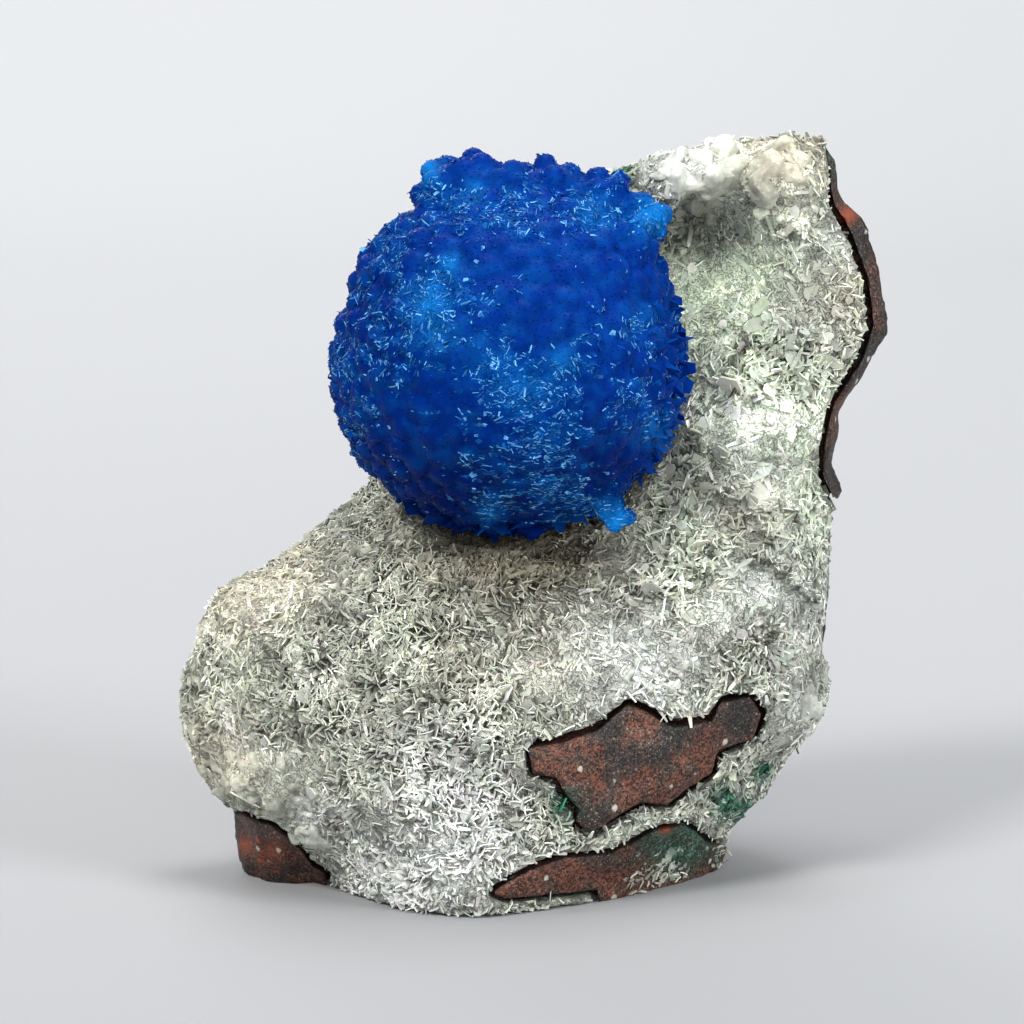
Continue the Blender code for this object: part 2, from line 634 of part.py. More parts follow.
def pits(name, stone):
    """Gas bubbles of the lava that the break opened, on the back and the sides."""
    rng = random.Random(SEED + 9)
    bm = bmesh.new()
    bm.from_mesh(stone.data)
    surface = BVHTree.FromBMesh(bm)
    bm.clear()
    placed = []
    while len(placed) < PIT_COUNT:
        spot = Vector((rng.uniform(-18, 19), 0, rng.uniform(2, 40)))
        slant = Vector((rng.uniform(-0.6, 0.6), -1, rng.uniform(-0.3, 0.5))).normalized()
        hit, _, _, _ = surface.ray_cast((spot - slant * 30) * MM, slant)
        if hit is None or hit.y < 5.0 * MM:
            continue
        if any((hit - other).length < 4.2 * MM for other in placed):
            continue
        placed.append(hit)
        radius = rng.uniform(*PIT_SIZES)
        place = Matrix.Translation(hit - slant * radius * 0.3 * MM)
        place @= Matrix.Diagonal((1.0, 0.8, rng.uniform(0.6, 1.0), 1.0))
        bmesh.ops.create_icosphere(bm, subdivisions=1, radius=radius * MM, matrix=place)
    return new_object(name, bm)


def make_ball():
    ball = crystal_ball("cavansite_ball", *BALL, TIP_PITCH, TIP_HEIGHT, SEED + 5)
    for number, (centre, radii) in enumerate(TIERS):
        tier = crystal_ball("tier", centre, radii, TIP_PITCH, TIP_HEIGHT, SEED + 6 + number)
        boolean(ball, tier, "UNION", "MANIFOLD")
    for number, (centre, radius) in enumerate(KNOBS):
        knob = crystal_ball("knob", centre, [radius] * 3, KNOB_PITCH, KNOB_TIPS, SEED + 20 + number)
        boolean(ball, knob, "UNION", "MANIFOLD")
    keep_largest_island(ball)
    finish_material(ball, (0.01, 0.09, 0.42), 0.3)
    return ball


def make_crust():
    crust = pillow("stilbite_crust")
    rng = random.Random(SEED + 3)
    for add in (add_fans, add_blades, add_lumps):
        add(crust, rng)
    boolean(crust, crust_block("crust_block"), "INTERSECT", "MANIFOLD")
    for outline in (FOOT_PATCH, LUMP_PATCH):
        boolean(crust, prism("bare", outline), "DIFFERENCE", "MANIFOLD")
    boolean(crust, ball_socket("socket"), "DIFFERENCE", "MANIFOLD")
    keep_largest_island(crust)
    finish_material(crust, (0.62, 0.64, 0.56), 0.35)
    return crust


def make_matrix():
    matrix = pillow("basalt_matrix")
    boolean(matrix, pits("pits", matrix), "DIFFERENCE")
    cutter = crust_block("crust_cutter", BED_GAP)
    for outline in (FOOT_PATCH, LUMP_PATCH):
        boolean(cutter, prism("kept", offset_outline(outline, -GAP)), "DIFFERENCE")
    boolean(matrix, cutter, "DIFFERENCE")
    boolean(matrix, ball_socket("socket"), "DIFFERENCE")
    keep_largest_island(matrix)
    finish_material(matrix, (0.13, 0.07, 0.05), 0.8)
    return matrix


def stand_at_origin(parts):
    """Move the pieces together so that the middle of their box is over the origin."""
    points = np.array([vert.co for part in parts for vert in part.data.vertices])
    low, high = points.min(axis=0), points.max(axis=0)
    shift = Vector((-(low[0] + high[0]) / 2, -(low[1] + high[1]) / 2, -low[2]))
    for part in parts:
        part.data.transform(Matrix.Translation(shift))


def main():
    for obj in list(bpy.data.objects):
        bpy.data.objects.remove(obj)
    parts = (make_matrix(), make_crust(), make_ball())
    stand_at_origin(parts)
    for part in parts:
        print(part.name, len(part.data.polygons), "faces")


main()
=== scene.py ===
import math

import bpy
import numpy as np
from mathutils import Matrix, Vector, noise
from mathutils.bvhtree import BVHTree


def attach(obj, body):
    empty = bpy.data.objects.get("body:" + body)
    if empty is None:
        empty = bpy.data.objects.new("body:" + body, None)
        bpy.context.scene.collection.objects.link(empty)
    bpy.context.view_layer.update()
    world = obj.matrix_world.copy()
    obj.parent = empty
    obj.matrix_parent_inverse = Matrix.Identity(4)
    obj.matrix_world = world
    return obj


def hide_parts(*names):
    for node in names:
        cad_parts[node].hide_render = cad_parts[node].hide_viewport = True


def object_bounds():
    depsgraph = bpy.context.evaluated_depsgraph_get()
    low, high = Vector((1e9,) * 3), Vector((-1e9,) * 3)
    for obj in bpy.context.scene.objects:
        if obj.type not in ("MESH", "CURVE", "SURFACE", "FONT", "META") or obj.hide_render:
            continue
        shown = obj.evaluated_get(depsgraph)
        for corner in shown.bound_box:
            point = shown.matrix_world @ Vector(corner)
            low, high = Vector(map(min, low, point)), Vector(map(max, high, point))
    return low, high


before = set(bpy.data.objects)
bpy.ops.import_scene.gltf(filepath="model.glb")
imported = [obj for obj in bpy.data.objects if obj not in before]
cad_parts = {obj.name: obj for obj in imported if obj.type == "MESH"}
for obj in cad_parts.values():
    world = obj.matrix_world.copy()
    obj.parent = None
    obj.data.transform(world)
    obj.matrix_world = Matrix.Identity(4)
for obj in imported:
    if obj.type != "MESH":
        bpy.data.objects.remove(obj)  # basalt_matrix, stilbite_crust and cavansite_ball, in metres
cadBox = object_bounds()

mm = 0.001
boxLow, boxHigh = np.array(cadBox[0]), np.array(cadBox[1])
noise.seed_set(4)  # without it the flow of the crystals changes from run to run
bpy.ops.object.select_all(action="DESELECT")


# camera, light and table

cameraValues = {
    "target": (-0.00122, 0.0, 0.02067),
    "distance": 0.32,
    "elevation": 9.0,
    "lens": 202.5,
    "sensor": 36.0,
    "picture": 1024,
}

tilt = math.radians(cameraValues["elevation"])
viewBack = Vector((0, -math.cos(tilt), math.sin(tilt)))
viewUp = Vector((0, math.sin(tilt), math.cos(tilt)))
cameraPlace = Vector(cameraValues["target"]) + viewBack * cameraValues["distance"]
bpy.ops.object.camera_add(location=cameraPlace, rotation=(math.pi / 2 - tilt, 0, 0))
camera = bpy.context.object
camera.name = "specimenCamera"
camera.data.lens = cameraValues["lens"]
camera.data.sensor_width = cameraValues["sensor"]
camera.data.clip_start = 0.01
camera.data.clip_end = 20
bpy.context.scene.camera = camera
bpy.context.scene.view_settings.view_transform = "Standard"

lightValues = {  # place, size in metres, watts, colour
    "keyLight": ((-0.17, -0.24, 0.30), 0.11, 1.25, (1.0, 0.99, 0.97)),
    "topLight": ((0.04, 0.02, 0.36), 0.14, 0.5, (1.0, 1.0, 1.0)),
    "rightLight": ((0.28, -0.22, 0.18), 0.14, 1.0, (0.97, 0.99, 1.0)),
    "frontLight": ((0.02, -0.36, 0.10), 0.10, 0.3, (1.0, 1.0, 1.0)),
    "backLight": ((-0.10, 0.34, 0.26), 0.20, 0.35, (1.0, 1.0, 1.0)),
    "wallLight": ((0.0, 0.10, 0.60), 0.40, 0.9, (1.0, 1.0, 1.0)),
}
lightTargets = {"wallLight": Vector((0, 0.55, 0.10))}
lightTarget = Vector((0, 0, 0.02))

for name, (place, size, watts, colour) in lightValues.items():
    bpy.ops.object.light_add(type="AREA", location=place)
    light = bpy.context.object
    light.name = name
    aim = lightTargets.get(name, lightTarget) - Vector(place)
    light.rotation_euler = aim.to_track_quat("-Z", "Y").to_euler()
    light.data.size = size
    light.data.energy = watts
    light.data.color = colour

world = bpy.data.worlds.new("softRoom")
bpy.context.scene.world = world
world.use_nodes = True
world.node_tree.nodes["Background"].inputs["Color"].default_value = (0.90, 0.93, 0.96, 1)
world.node_tree.nodes["Background"].inputs["Strength"].default_value = 0.32


def selectOnly(piece):
    bpy.ops.object.select_all(action="DESELECT")
    piece.select_set(True)
    bpy.context.view_layer.objects.active = piece


def pick(kind, test):
    # in edit mode, select the edges or faces of the active piece whose corners pass a test
    bpy.ops.mesh.select_mode(type=kind)
    bpy.ops.mesh.select_all(action="DESELECT")
    bpy.ops.object.mode_set(mode="OBJECT")
    mesh = bpy.context.object.data
    for part in mesh.edges if kind == "EDGE" else mesh.polygons:
        part.select = bool(test(np.array([mesh.vertices[i].co for i in part.vertices])))
    bpy.ops.object.mode_set(mode="EDIT")


tableValues = {
    "size": 1.6, "back": 0.55, "height": 0.8, "bend": 0.25,
    # near and far: painted shade near the camera and painted light at the back, blended over fade, a span of
    # y in metres
    "near": (0.33, 0.335, 0.345), "far": (0.80, 0.81, 0.83), "fade": (-0.05, 0.5),
}

bpy.ops.mesh.primitive_plane_add(
    size=tableValues["size"], location=(0, tableValues["back"] - tableValues["size"] / 2, -0.00002))
table = bpy.context.object
table.name = "paleTable"
bpy.ops.object.transform_apply(location=True, rotation=False, scale=True)
bpy.ops.object.mode_set(mode="EDIT")
pick("EDGE", lambda ends: ends[:, 1].min() > tableValues["back"] - 0.001)
bpy.ops.mesh.extrude_region_move(TRANSFORM_OT_translate={"value": (0, 0, tableValues["height"])})
pick("EDGE", lambda ends: ends[:, 1].min() > tableValues["back"] - 0.001 and ends[:, 2].max() < 0.001)
bpy.ops.mesh.bevel(offset=tableValues["bend"], segments=16, affect="EDGES")
bpy.ops.object.mode_set(mode="OBJECT")
bpy.ops.object.shade_smooth()
print("camera, lights and table ready")


# shader groups

def newGroup(name, inputs, outputs):
    # sockets are numbers: {input: value} and output names; also gives the place and the grains in a metre
    group = bpy.data.node_groups.new(name, "ShaderNodeTree")
    for label, value in inputs.items():
        socket = group.interface.new_socket(name=label, in_out="INPUT", socket_type="NodeSocketFloat")
        socket.default_value = value
    for label in outputs:
        group.interface.new_socket(name=label, in_out="OUTPUT", socket_type="NodeSocketFloat")
    start = group.nodes.new("NodeGroupInput")
    end = group.nodes.new("NodeGroupOutput")
    perMetre = addMath(group, "DIVIDE", 1000.0, start.outputs["Size"])
    return group, start, end, objectPlaceIn(group), perMetre


def placeGroup(tree, group, **values):
    node = tree.nodes.new("ShaderNodeGroup")
    node.node_tree = group
    for key, value in values.items():
        node.inputs[key].default_value = value
    return node


def addNode(tree, kind, links=(), **settings):
    # a node, its settings, and what feeds its inputs: {input: value or socket}
    node = tree.nodes.new(kind)
    for key, value in settings.items():
        setattr(node, key, value)
    for key, value in dict(links).items():
        if isinstance(value, bpy.types.NodeSocket):
            tree.links.new(value, node.inputs[key])
        else:
            node.inputs[key].default_value = value
    return node


def addMath(tree, operation, *values, clamp=False):
    node = addNode(tree, "ShaderNodeMath", enumerate(values), operation=operation, use_clamp=clamp)
    return node.outputs[0]


def addRange(tree, value, fromLow, fromHigh, toLow, toHigh):
    links = {0: value, 1: fromLow, 2: fromHigh, 3: toLow, 4: toHigh}
    return addNode(tree, "ShaderNodeMapRange", links).outputs[0]


def addRamp(tree, factor, stops):
    node = addNode(tree, "ShaderNodeValToRGB", {0: factor})
    while len(node.color_ramp.elements) < len(stops):
        node.color_ramp.elements.new(0.5)
    for element, (place, colour) in zip(node.color_ramp.elements, stops):
        element.position = place
        element.color = (*colour, 1)
    return node.outputs[0]


def addMix(tree, factor, first, second, blend="MIX"):
    first, second = [(*side, 1) if isinstance(side, tuple) else side for side in (first, second)]
    node = addNode(tree, "ShaderNodeMix", {0: factor, 6: first, 7: second},
                   data_type="RGBA", blend_type=blend)
    return node.outputs[2]


def grey(value):
    return (value, value, value)


def objectPlaceIn(tree):
    return addNode(tree, "ShaderNodeTexCoord").outputs["Object"]


def addNoise(tree, place, scale, **values):
    return addNode(tree, "ShaderNodeTexNoise", {"Vector": place, "Scale": scale, **values}).outputs[0]


def readAttribute(tree, name, output):
    return addNode(tree, "ShaderNodeAttribute", attribute_name=name).outputs[output]


def cellShade(tree, cells):
    # a random number for each cell of a Voronoi texture
    return addNode(tree, "ShaderNodeSeparateColor", {0: cells.outputs["Color"]}).outputs[0]


# Mineral grain: two sizes of mottling and a height for bump. Size is in millimetres.
tree, groupIn, groupOut, objectPlace, perMetre = newGroup(
    "mineralGrain", {"Size": 1.0, "Contrast": 1.0}, ("Mask", "Fine", "Height"))
grainGroup = tree
finePerMetre = addMath(tree, "MULTIPLY", perMetre, 5.3)
wide = addNoise(tree, objectPlace, perMetre, Detail=2.0, Roughness=0.6)
fine = addNoise(tree, objectPlace, finePerMetre, Detail=1.0, Roughness=0.7)
spread = addMath(tree, "SUBTRACT", wide, 0.5)
spread = addMath(tree, "MULTIPLY_ADD", spread, groupIn.outputs["Contrast"], 0.5, clamp=True)
tree.links.new(spread, groupOut.inputs["Mask"])
tree.links.new(fine, groupOut.inputs["Fine"])
tree.links.new(addMath(tree, "MULTIPLY_ADD", fine, 0.45, wide), groupOut.inputs["Height"])

# Small grains of another colour: a mask of spots with ragged edges.
tree, groupIn, groupOut, objectPlace, perMetre = newGroup(
    "flecks", {"Size": 1.0, "Amount": 0.2}, ("Mask",))
fleckGroup = tree
cells = addNode(tree, "ShaderNodeTexVoronoi", {"Vector": objectPlace, "Scale": perMetre})
chosen = addMath(tree, "LESS_THAN", cellShade(tree, cells), groupIn.outputs["Amount"])
ragged = addNoise(tree, objectPlace, perMetre, Detail=4.0, Roughness=0.7)
edge = addMath(tree, "MULTIPLY_ADD", ragged, 0.9, cells.outputs["Distance"])
near = addRange(tree, edge, 0.62, 0.78, 1.0, 0.0)
tree.links.new(addMath(tree, "MULTIPLY", near, chosen), groupOut.inputs["Mask"])

# Thin gaps between matted blades, where shade is painted dark: 0 in a gap, 1 on a blade.
tree, groupIn, groupOut, objectPlace, perMetre = newGroup(
    "mattedLines", {"Size": 0.5, "Width": 0.05}, ("Mask",))
mattedGroup = tree
masks = []
for stretch in (1.0, 1.43):
    scale = addMath(tree, "MULTIPLY", perMetre, stretch)
    swirl = addNoise(tree, objectPlace, scale, Detail=1.0, Distortion=0.9)
    apart = addMath(tree, "ABSOLUTE", addMath(tree, "SUBTRACT", swirl, 0.5))
    masks.append(addRange(tree, apart, 0.0, groupIn.outputs["Width"], 0.0, 1.0))
tree.links.new(addMath(tree, "MULTIPLY", *masks), groupOut.inputs["Mask"])


# materials

def newMaterial(name, plain):
    # plain holds the values that are the same all over, by the shader's own sockets
    material = bpy.data.materials.new(name)
    material.use_nodes = True
    shader = material.node_tree.nodes["Principled BSDF"]
    for socket, value in plain.items():
        shader.inputs[socket].default_value = value
    return material, material.node_tree, shader


def addRoughness(tree, shader, mask, low, high):
    tree.links.new(addRange(tree, mask, 0.3, 0.7, low, high), shader.inputs["Roughness"])


def addBump(tree, shader, height, strength, depth):
    node = addNode(tree, "ShaderNodeBump", {"Height": height, "Strength": strength, "Distance": depth * mm})
    tree.links.new(node.outputs[0], shader.inputs["Normal"])


tableMaterial, tree, shader = newMaterial("paleTable", {"Roughness": 0.7, "Specular IOR Level": 0.2})
# painted light and shade: the table runs from dark grey near the camera to pale at the back and up the wall
tablePlace = addNode(tree, "ShaderNodeSeparateXYZ", {0: objectPlaceIn(tree)})
away = addRange(tree, tablePlace.outputs[1], *tableValues["fade"], 0.0, 1.0)
tableColour = addRamp(tree, away, [(0.0, tableValues["near"]), (1.0, tableValues["far"])])
tree.links.new(tableColour, shader.inputs["Base Color"])
table.data.materials.append(tableMaterial)

basaltLook = {  # sizes in millimetres
    "redBrown": (0.132, 0.037, 0.019),
    "purpleBrown": (0.064, 0.032, 0.022),
    "black": (0.016, 0.014, 0.013),
    "greenBlack": (0.018, 0.030, 0.020),
    "celadonite": (0.019, 0.068, 0.042),
    "paleGreen": (0.055, 0.135, 0.09),
    "zeolite": (0.50, 0.49, 0.42),
    "rust": (0.30, 0.060, 0.020),
    "tan": (0.30, 0.21, 0.15),
    "ash": (0.20, 0.165, 0.135),
    "grain": {"Size": 2.6, "Contrast": 2.4},
    "smallGrain": {"Size": 0.5, "Contrast": 2.0},
    "gritSize": 0.11,
    "gritShades": [(0.0, grey(0.02)), (0.35, grey(0.35)), (0.65, grey(1.1)), (1.0, (1.7, 1.9, 1.9))],
    "flecks": [  # size, share, colour
        (0.10, 0.30, "tan"), (0.24, 0.10, "ash"), (0.62, 0.08, "zeolite"), (0.9, 0.05, "rust")],
    "roughness": (0.42, 0.85),
    "bump": (0.8, 0.10),  # strength and depth
}

basaltMaterial, tree, shader = newMaterial("basaltBreccia", {"IOR": 1.5})
zone = readAttribute(tree, "zone", "Color")
# dark holds black stone, and the painted shade along the crust's edge
green, dark, rusty = addNode(tree, "ShaderNodeSeparateColor", {0: zone}).outputs
grain = placeGroup(tree, grainGroup, **basaltLook["grain"])
smallGrain = placeGroup(tree, grainGroup, **basaltLook["smallGrain"])
ground = addRamp(tree, grain.outputs["Mask"], [
    (0.0, basaltLook["black"]), (0.34, basaltLook["purpleBrown"]),
    (0.60, basaltLook["redBrown"]), (1.0, basaltLook["purpleBrown"])])
ground = addMix(tree, dark, ground, basaltLook["black"])
greens = addRamp(tree, smallGrain.outputs["Mask"], [
    (0.15, basaltLook["greenBlack"]), (0.55, basaltLook["celadonite"]), (0.95, basaltLook["paleGreen"])])
ground = addMix(tree, green, ground, greens)
grit = addNode(tree, "ShaderNodeTexVoronoi",
               {"Vector": objectPlaceIn(tree), "Scale": 1000 / basaltLook["gritSize"]})
gritShade = cellShade(tree, grit)
ground = addMix(tree, 1.0, ground, addRamp(tree, gritShade, basaltLook["gritShades"]), "MULTIPLY")
for size, share, colour in basaltLook["flecks"]:
    flecks = placeGroup(tree, fleckGroup, Size=size, Amount=share)
    ground = addMix(tree, flecks.outputs["Mask"], ground, basaltLook[colour])
ground = addMix(tree, rusty, ground, basaltLook["rust"])
tree.links.new(ground, shader.inputs["Base Color"])
addRoughness(tree, shader, smallGrain.outputs["Fine"], *basaltLook["roughness"])
gritHeight = addMath(tree, "MULTIPLY_ADD", gritShade, 0.6, smallGrain.outputs["Height"])
addBump(tree, shader, gritHeight, *basaltLook["bump"])

bedLook = {  # sizes in millimetres
    "matted": {"Size": 0.38, "Width": 0.04},
    "facetSize": 0.75,
    "grain": {"Size": 1.1, "Contrast": 2.2},
    "bump": (0.8, 0.14),  # strength and depth
}

bedMaterial, tree, shader = newMaterial("stilbiteBed", {"IOR": 1.5, "Roughness": 0.6})
matted = placeGroup(tree, mattedGroup, **bedLook["matted"])
facets = addNode(tree, "ShaderNodeTexVoronoi",
                 {"Vector": objectPlaceIn(tree), "Scale": 1000 / bedLook["facetSize"]})
grain = placeGroup(tree, grainGroup, **bedLook["grain"])
bedColour = readAttribute(tree, "tint", "Color")
# the matted mask paints shade into the gaps between blades; grain and facets give the bed's own mottled tone
for mask, stops in (
        (grain.outputs["Mask"], [(0.1, grey(0.6)), (0.5, grey(0.9)), (0.9, grey(1.15))]),
        (grain.outputs["Fine"], [(0.32, grey(0.75)), (0.6, grey(1.08))]),
        (matted.outputs["Mask"], [(0.0, grey(0.35)), (0.8, grey(1.05))]),
        (cellShade(tree, facets), [(0.0, grey(0.72)), (1.0, grey(1.22))])):
    bedColour = addMix(tree, 1.0, bedColour, addRamp(tree, mask, stops), "MULTIPLY")
tree.links.new(bedColour, shader.inputs["Base Color"])
bedHeight = addMath(tree, "MULTIPLY_ADD", matted.outputs["Mask"], 0.8, grain.outputs["Height"])
bedHeight = addMath(tree, "MULTIPLY_ADD", facets.outputs["Distance"], -1.2, bedHeight)
addBump(tree, shader, bedHeight, *bedLook["bump"])

milky = {"IOR": 1.5, "Subsurface Weight": 0.3, "Subsurface Scale": 0.0006,
         "Subsurface Radius": (1.0, 0.95, 0.75)}
crystalLooks = {  # painted shade at the root, painted highlights at the tip and on the thin sides, and sizes in millimetres
    "stilbiteBlades": {"root": (0.16, 0.16, 0.14), "tip": grey(1.0), "rim": grey(1.3), "grain": 0.6,
                       "roughness": (0.2, 0.5), "bump": 0.03, "plain": {"IOR": 1.5}},
    "stilbiteLeaves": {"root": (0.82, 0.83, 0.78), "tip": grey(1.0), "rim": grey(1.35), "grain": 0.9,
                       "roughness": (0.18, 0.45), "bump": 0.05, "plain": milky},
    "massiveZeolite": {"root": (0.75, 0.75, 0.7), "tip": grey(1.0), "rim": grey(1.1), "grain": 0.8,
                       "roughness": (0.22, 0.5), "bump": 0.08, "plain": milky},
    "cavansite": {"root": (0.6, 0.65, 0.8), "tip": grey(1.05), "rim": (1.3, 1.25, 1.15), "grain": 0.8,
                  "roughness": (0.36, 0.6), "bump": 0.02,
                  "plain": {"IOR": 1.54, "Specular IOR Level": 0.08, "Specular Tint": (0.05, 0.5, 1.0, 1)}},
}


def crystalMaterial(name, look):
    # colour from each crystal's own tint, with painted shade at its root and painted highlights at its tip
    # and on its thin sides
    material, tree, shader = newMaterial(name, look["plain"])
    grow = readAttribute(tree, "grow", "Fac")
    # painted shade from the root up, and a painted highlight at the tip
    shade = addRamp(tree, grow, [(0.0, look["root"]), (0.55, grey(0.9)), (1.0, look["tip"])])
    grain = placeGroup(tree, grainGroup, Size=look["grain"], Contrast=1.6)
    cloud = addRamp(tree, grain.outputs["Mask"], [(0.2, grey(0.82)), (0.8, grey(1.12))])
    colour = addMix(tree, 1.0, readAttribute(tree, "tint", "Color"), shade, "MULTIPLY")
    colour = addMix(tree, 1.0, colour, cloud, "MULTIPLY")
    # painted highlight on the thin sides
    rimHighlight = addMix(tree, 1.0, colour, look["rim"], "MULTIPLY")
    colour = addMix(tree, readAttribute(tree, "rim", "Fac"), colour, rimHighlight)
    tree.links.new(colour, shader.inputs["Base Color"])
    addRoughness(tree, shader, grain.outputs["Fine"], *look["roughness"])
    addBump(tree, shader, grain.outputs["Fine"], 0.35, look["bump"])
    return material


crystalMaterials = {name: crystalMaterial(name, look) for name, look in crystalLooks.items()}
print("materials ready")


# helpers for shapes

def surfaceOf(piece):
    # its corners and their normals
    corners = np.empty(len(piece.data.vertices) * 3, dtype=np.float32)
    normals = np.empty_like(corners)
    piece.data.vertices.foreach_get("co", corners)
    piece.data.vertex_normals.foreach_get("vector", normals)
    return corners.reshape(-1, 3).astype(float), normals.reshape(-1, 3).astype(float)


def setVertices(piece, places):
    piece.data.vertices.foreach_set("co", places.astype(np.float32).ravel())
    piece.data.update()


def setColours(mesh, name, colours):
    full = np.ones((len(mesh.vertices), 4), dtype=np.float32)
    full[:, :3] = colours
    mesh.color_attributes.new(name, "FLOAT_COLOR", "POINT").data.foreach_set("color", full.ravel())


def setNumbers(mesh, name, domain, numbers):
    mesh.attributes.new(name, "FLOAT", domain).data.foreach_set("value", numbers.astype(np.float32))


def remesh(piece, voxel):
    selectOnly(piece)
    piece.data.remesh_voxel_size = voxel
    bpy.ops.object.voxel_remesh()


def soften(piece, rounds):
    # even out the steps of a remesh
    modifier = piece.modifiers.new("softer", "SMOOTH")
    modifier.factor = 0.5
    modifier.iterations = rounds
    bpy.ops.object.modifier_apply(modifier=modifier.name)


def smoothShade(piece, angle):
    selectOnly(piece)
    bpy.ops.object.shade_smooth_by_angle(angle=math.radians(angle))


def finePiece(nodeName, name, voxel, material):
    # a merged copy of a CAD node, remeshed finely enough to carry relief
    piece = bpy.data.objects.new(name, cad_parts[nodeName].data.copy())
    bpy.context.collection.objects.link(piece)
    selectOnly(piece)
    bpy.ops.object.mode_set(mode="EDIT")
    bpy.ops.mesh.select_all(action="SELECT")
    bpy.ops.mesh.remove_doubles(threshold=0.000001)
    bpy.ops.object.mode_set(mode="OBJECT")
    remesh(piece, voxel)
    piece.data.materials.clear()
    piece.data.materials.append(material)
    return piece


def addRelief(piece, kind, size, strength, middle, **extra):
    # push the surface in and out by a procedural texture; size and strength are in millimetres
    texture = bpy.data.textures.new(piece.name + kind.title(), kind)
    texture.noise_scale = size * mm
    for key, value in extra.items():
        setattr(texture, key, value)
    modifier = piece.modifiers.new("relief", "DISPLACE")
    modifier.texture = texture
    modifier.texture_coords = "LOCAL"
    modifier.strength = strength * mm
    modifier.mid_level = middle
    selectOnly(piece)
    bpy.ops.object.modifier_apply(modifier=modifier.name)


def treeOf(piece):
    piece.data.calc_loop_triangles()
    triangles = [tuple(t.vertices) for t in piece.data.loop_triangles]
    return BVHTree.FromPolygons([v.co for v in piece.data.vertices], triangles)


def distances(tree, places):
    return np.array([tree.find_nearest(Vector(p))[3] for p in places])


def keepInBox(places, room=0.0):
    return np.clip(places, boxLow + room, boxHigh - room)


def photoPlace(places):
    # where each point is in the 1024 x 1024 picture
    away = places - np.array(cameraPlace)
    depth = -(away @ np.array(viewBack))
    scale = cameraValues["lens"] / cameraValues["sensor"] * cameraValues["picture"]
    half = cameraValues["picture"] / 2
    return np.stack([half + away[:, 0] / depth * scale,
                     half - away @ np.array(viewUp) / depth * scale], axis=1)


def influence(places, spots):
    # how much each point belongs to soft round spots: (u, v, radius, amount) in the picture
    at = photoPlace(places)
    total = np.zeros(len(places))
    for u, v, radius, amount in spots:
        total += amount * np.exp(-((at[:, 0] - u) ** 2 + (at[:, 1] - v) ** 2) / radius ** 2)
    return clamp(total)


def scatterOn(piece, count, rng):
    # points spread evenly over a piece, with its smooth normals
    mesh = piece.data
    mesh.calc_loop_triangles()
    triangles = np.empty(len(mesh.loop_triangles) * 3, dtype=np.int32)
    mesh.loop_triangles.foreach_get("vertices", triangles)
    triangles = triangles.reshape(-1, 3)
    places, normals = surfaceOf(piece)
    a, b, c = (places[triangles[:, i]] for i in range(3))
    areas = np.linalg.norm(np.cross(b - a, c - a), axis=1)
    chosen = rng.choice(len(triangles), count, p=areas / areas.sum())
    first, second = rng.random((2, count))
    flip = first + second > 1
    first[flip], second[flip] = 1 - first[flip], 1 - second[flip]
    shares = np.stack([1 - first - second, first, second], axis=1)[:, :, None]
    corner = triangles[chosen]
    return (places[corner] * shares).sum(axis=1), unit((normals[corner] * shares).sum(axis=1))


def clamp(values):
    return np.clip(values, 0, 1)


def unit(vectors):
    return vectors / np.maximum(np.linalg.norm(vectors, axis=-1, keepdims=True), 1e-12)


def thinOut(places, apart):
    # indices of points that keep a distance from each other
    cells = {}
    kept = []
    around = [(i, j, k) for i in (-1, 0, 1) for j in (-1, 0, 1) for k in (-1, 0, 1)]
    scaled = (places / apart).tolist()
    for index, (x, y, z) in enumerate(scaled):
        cell = (math.floor(x), math.floor(y), math.floor(z))
        if cell in cells:
            continue
        for i, j, k in around:
            other = cells.get((cell[0] + i, cell[1] + j, cell[2] + k))
            if other and (other[0] - x) ** 2 + (other[1] - y) ** 2 + (other[2] - z) ** 2 < 1:
                break
        else:
            cells[cell] = (x, y, z)
            kept.append(index)
    return np.array(kept)


def cloudAt(places, size):
    return np.array([noise.noise(Vector(p) / (size * mm)) for p in places])


def flowAt(places, size, seed):
    # a direction at each point that turns slowly over the surface
    shift = Vector((seed, 3.0 * seed, 7.0 * seed))
    return np.array([noise.noise_vector(Vector(p) / (size * mm) + shift) for p in places])


def sideways(axes, rng):
    # a random direction across each axis
    return unit(np.cross(axes, unit(rng.normal(size=axes.shape))))


def alongSurface(directions, outward):
    return directions - outward * (directions * outward).sum(axis=1)[:, None]


def stray(vectors, amount, rng):
    # random pushes to each side
    return rng.normal(size=vectors.shape) * amount


def blend(tints, colour, share):
    return tints + (np.array(colour) - tints) * share[:, None]


def inFront(normals):
    # 1 where the surface faces the front, and 0 towards the back
    return clamp(-normals[:, 1] * 3 + 1)


def crystalSizes(width, thickness, length):
    return np.stack([width, thickness, length], axis=1) * mm


def drawSizes(values, length, rng):
    # widths and thicknesses drawn from their ranges, for crystals of these lengths
    width = rng.uniform(*values["width"], len(length))
    return crystalSizes(width, rng.uniform(*values["thickness"], len(length)), length)


def shapeOf(piece):
    # the points and faces of a piece, which is then removed
    points = np.array([v.co[:] for v in piece.data.vertices])
    faces = [list(p.vertices) for p in piece.data.polygons]
    bpy.data.objects.remove(piece)
    return points, faces


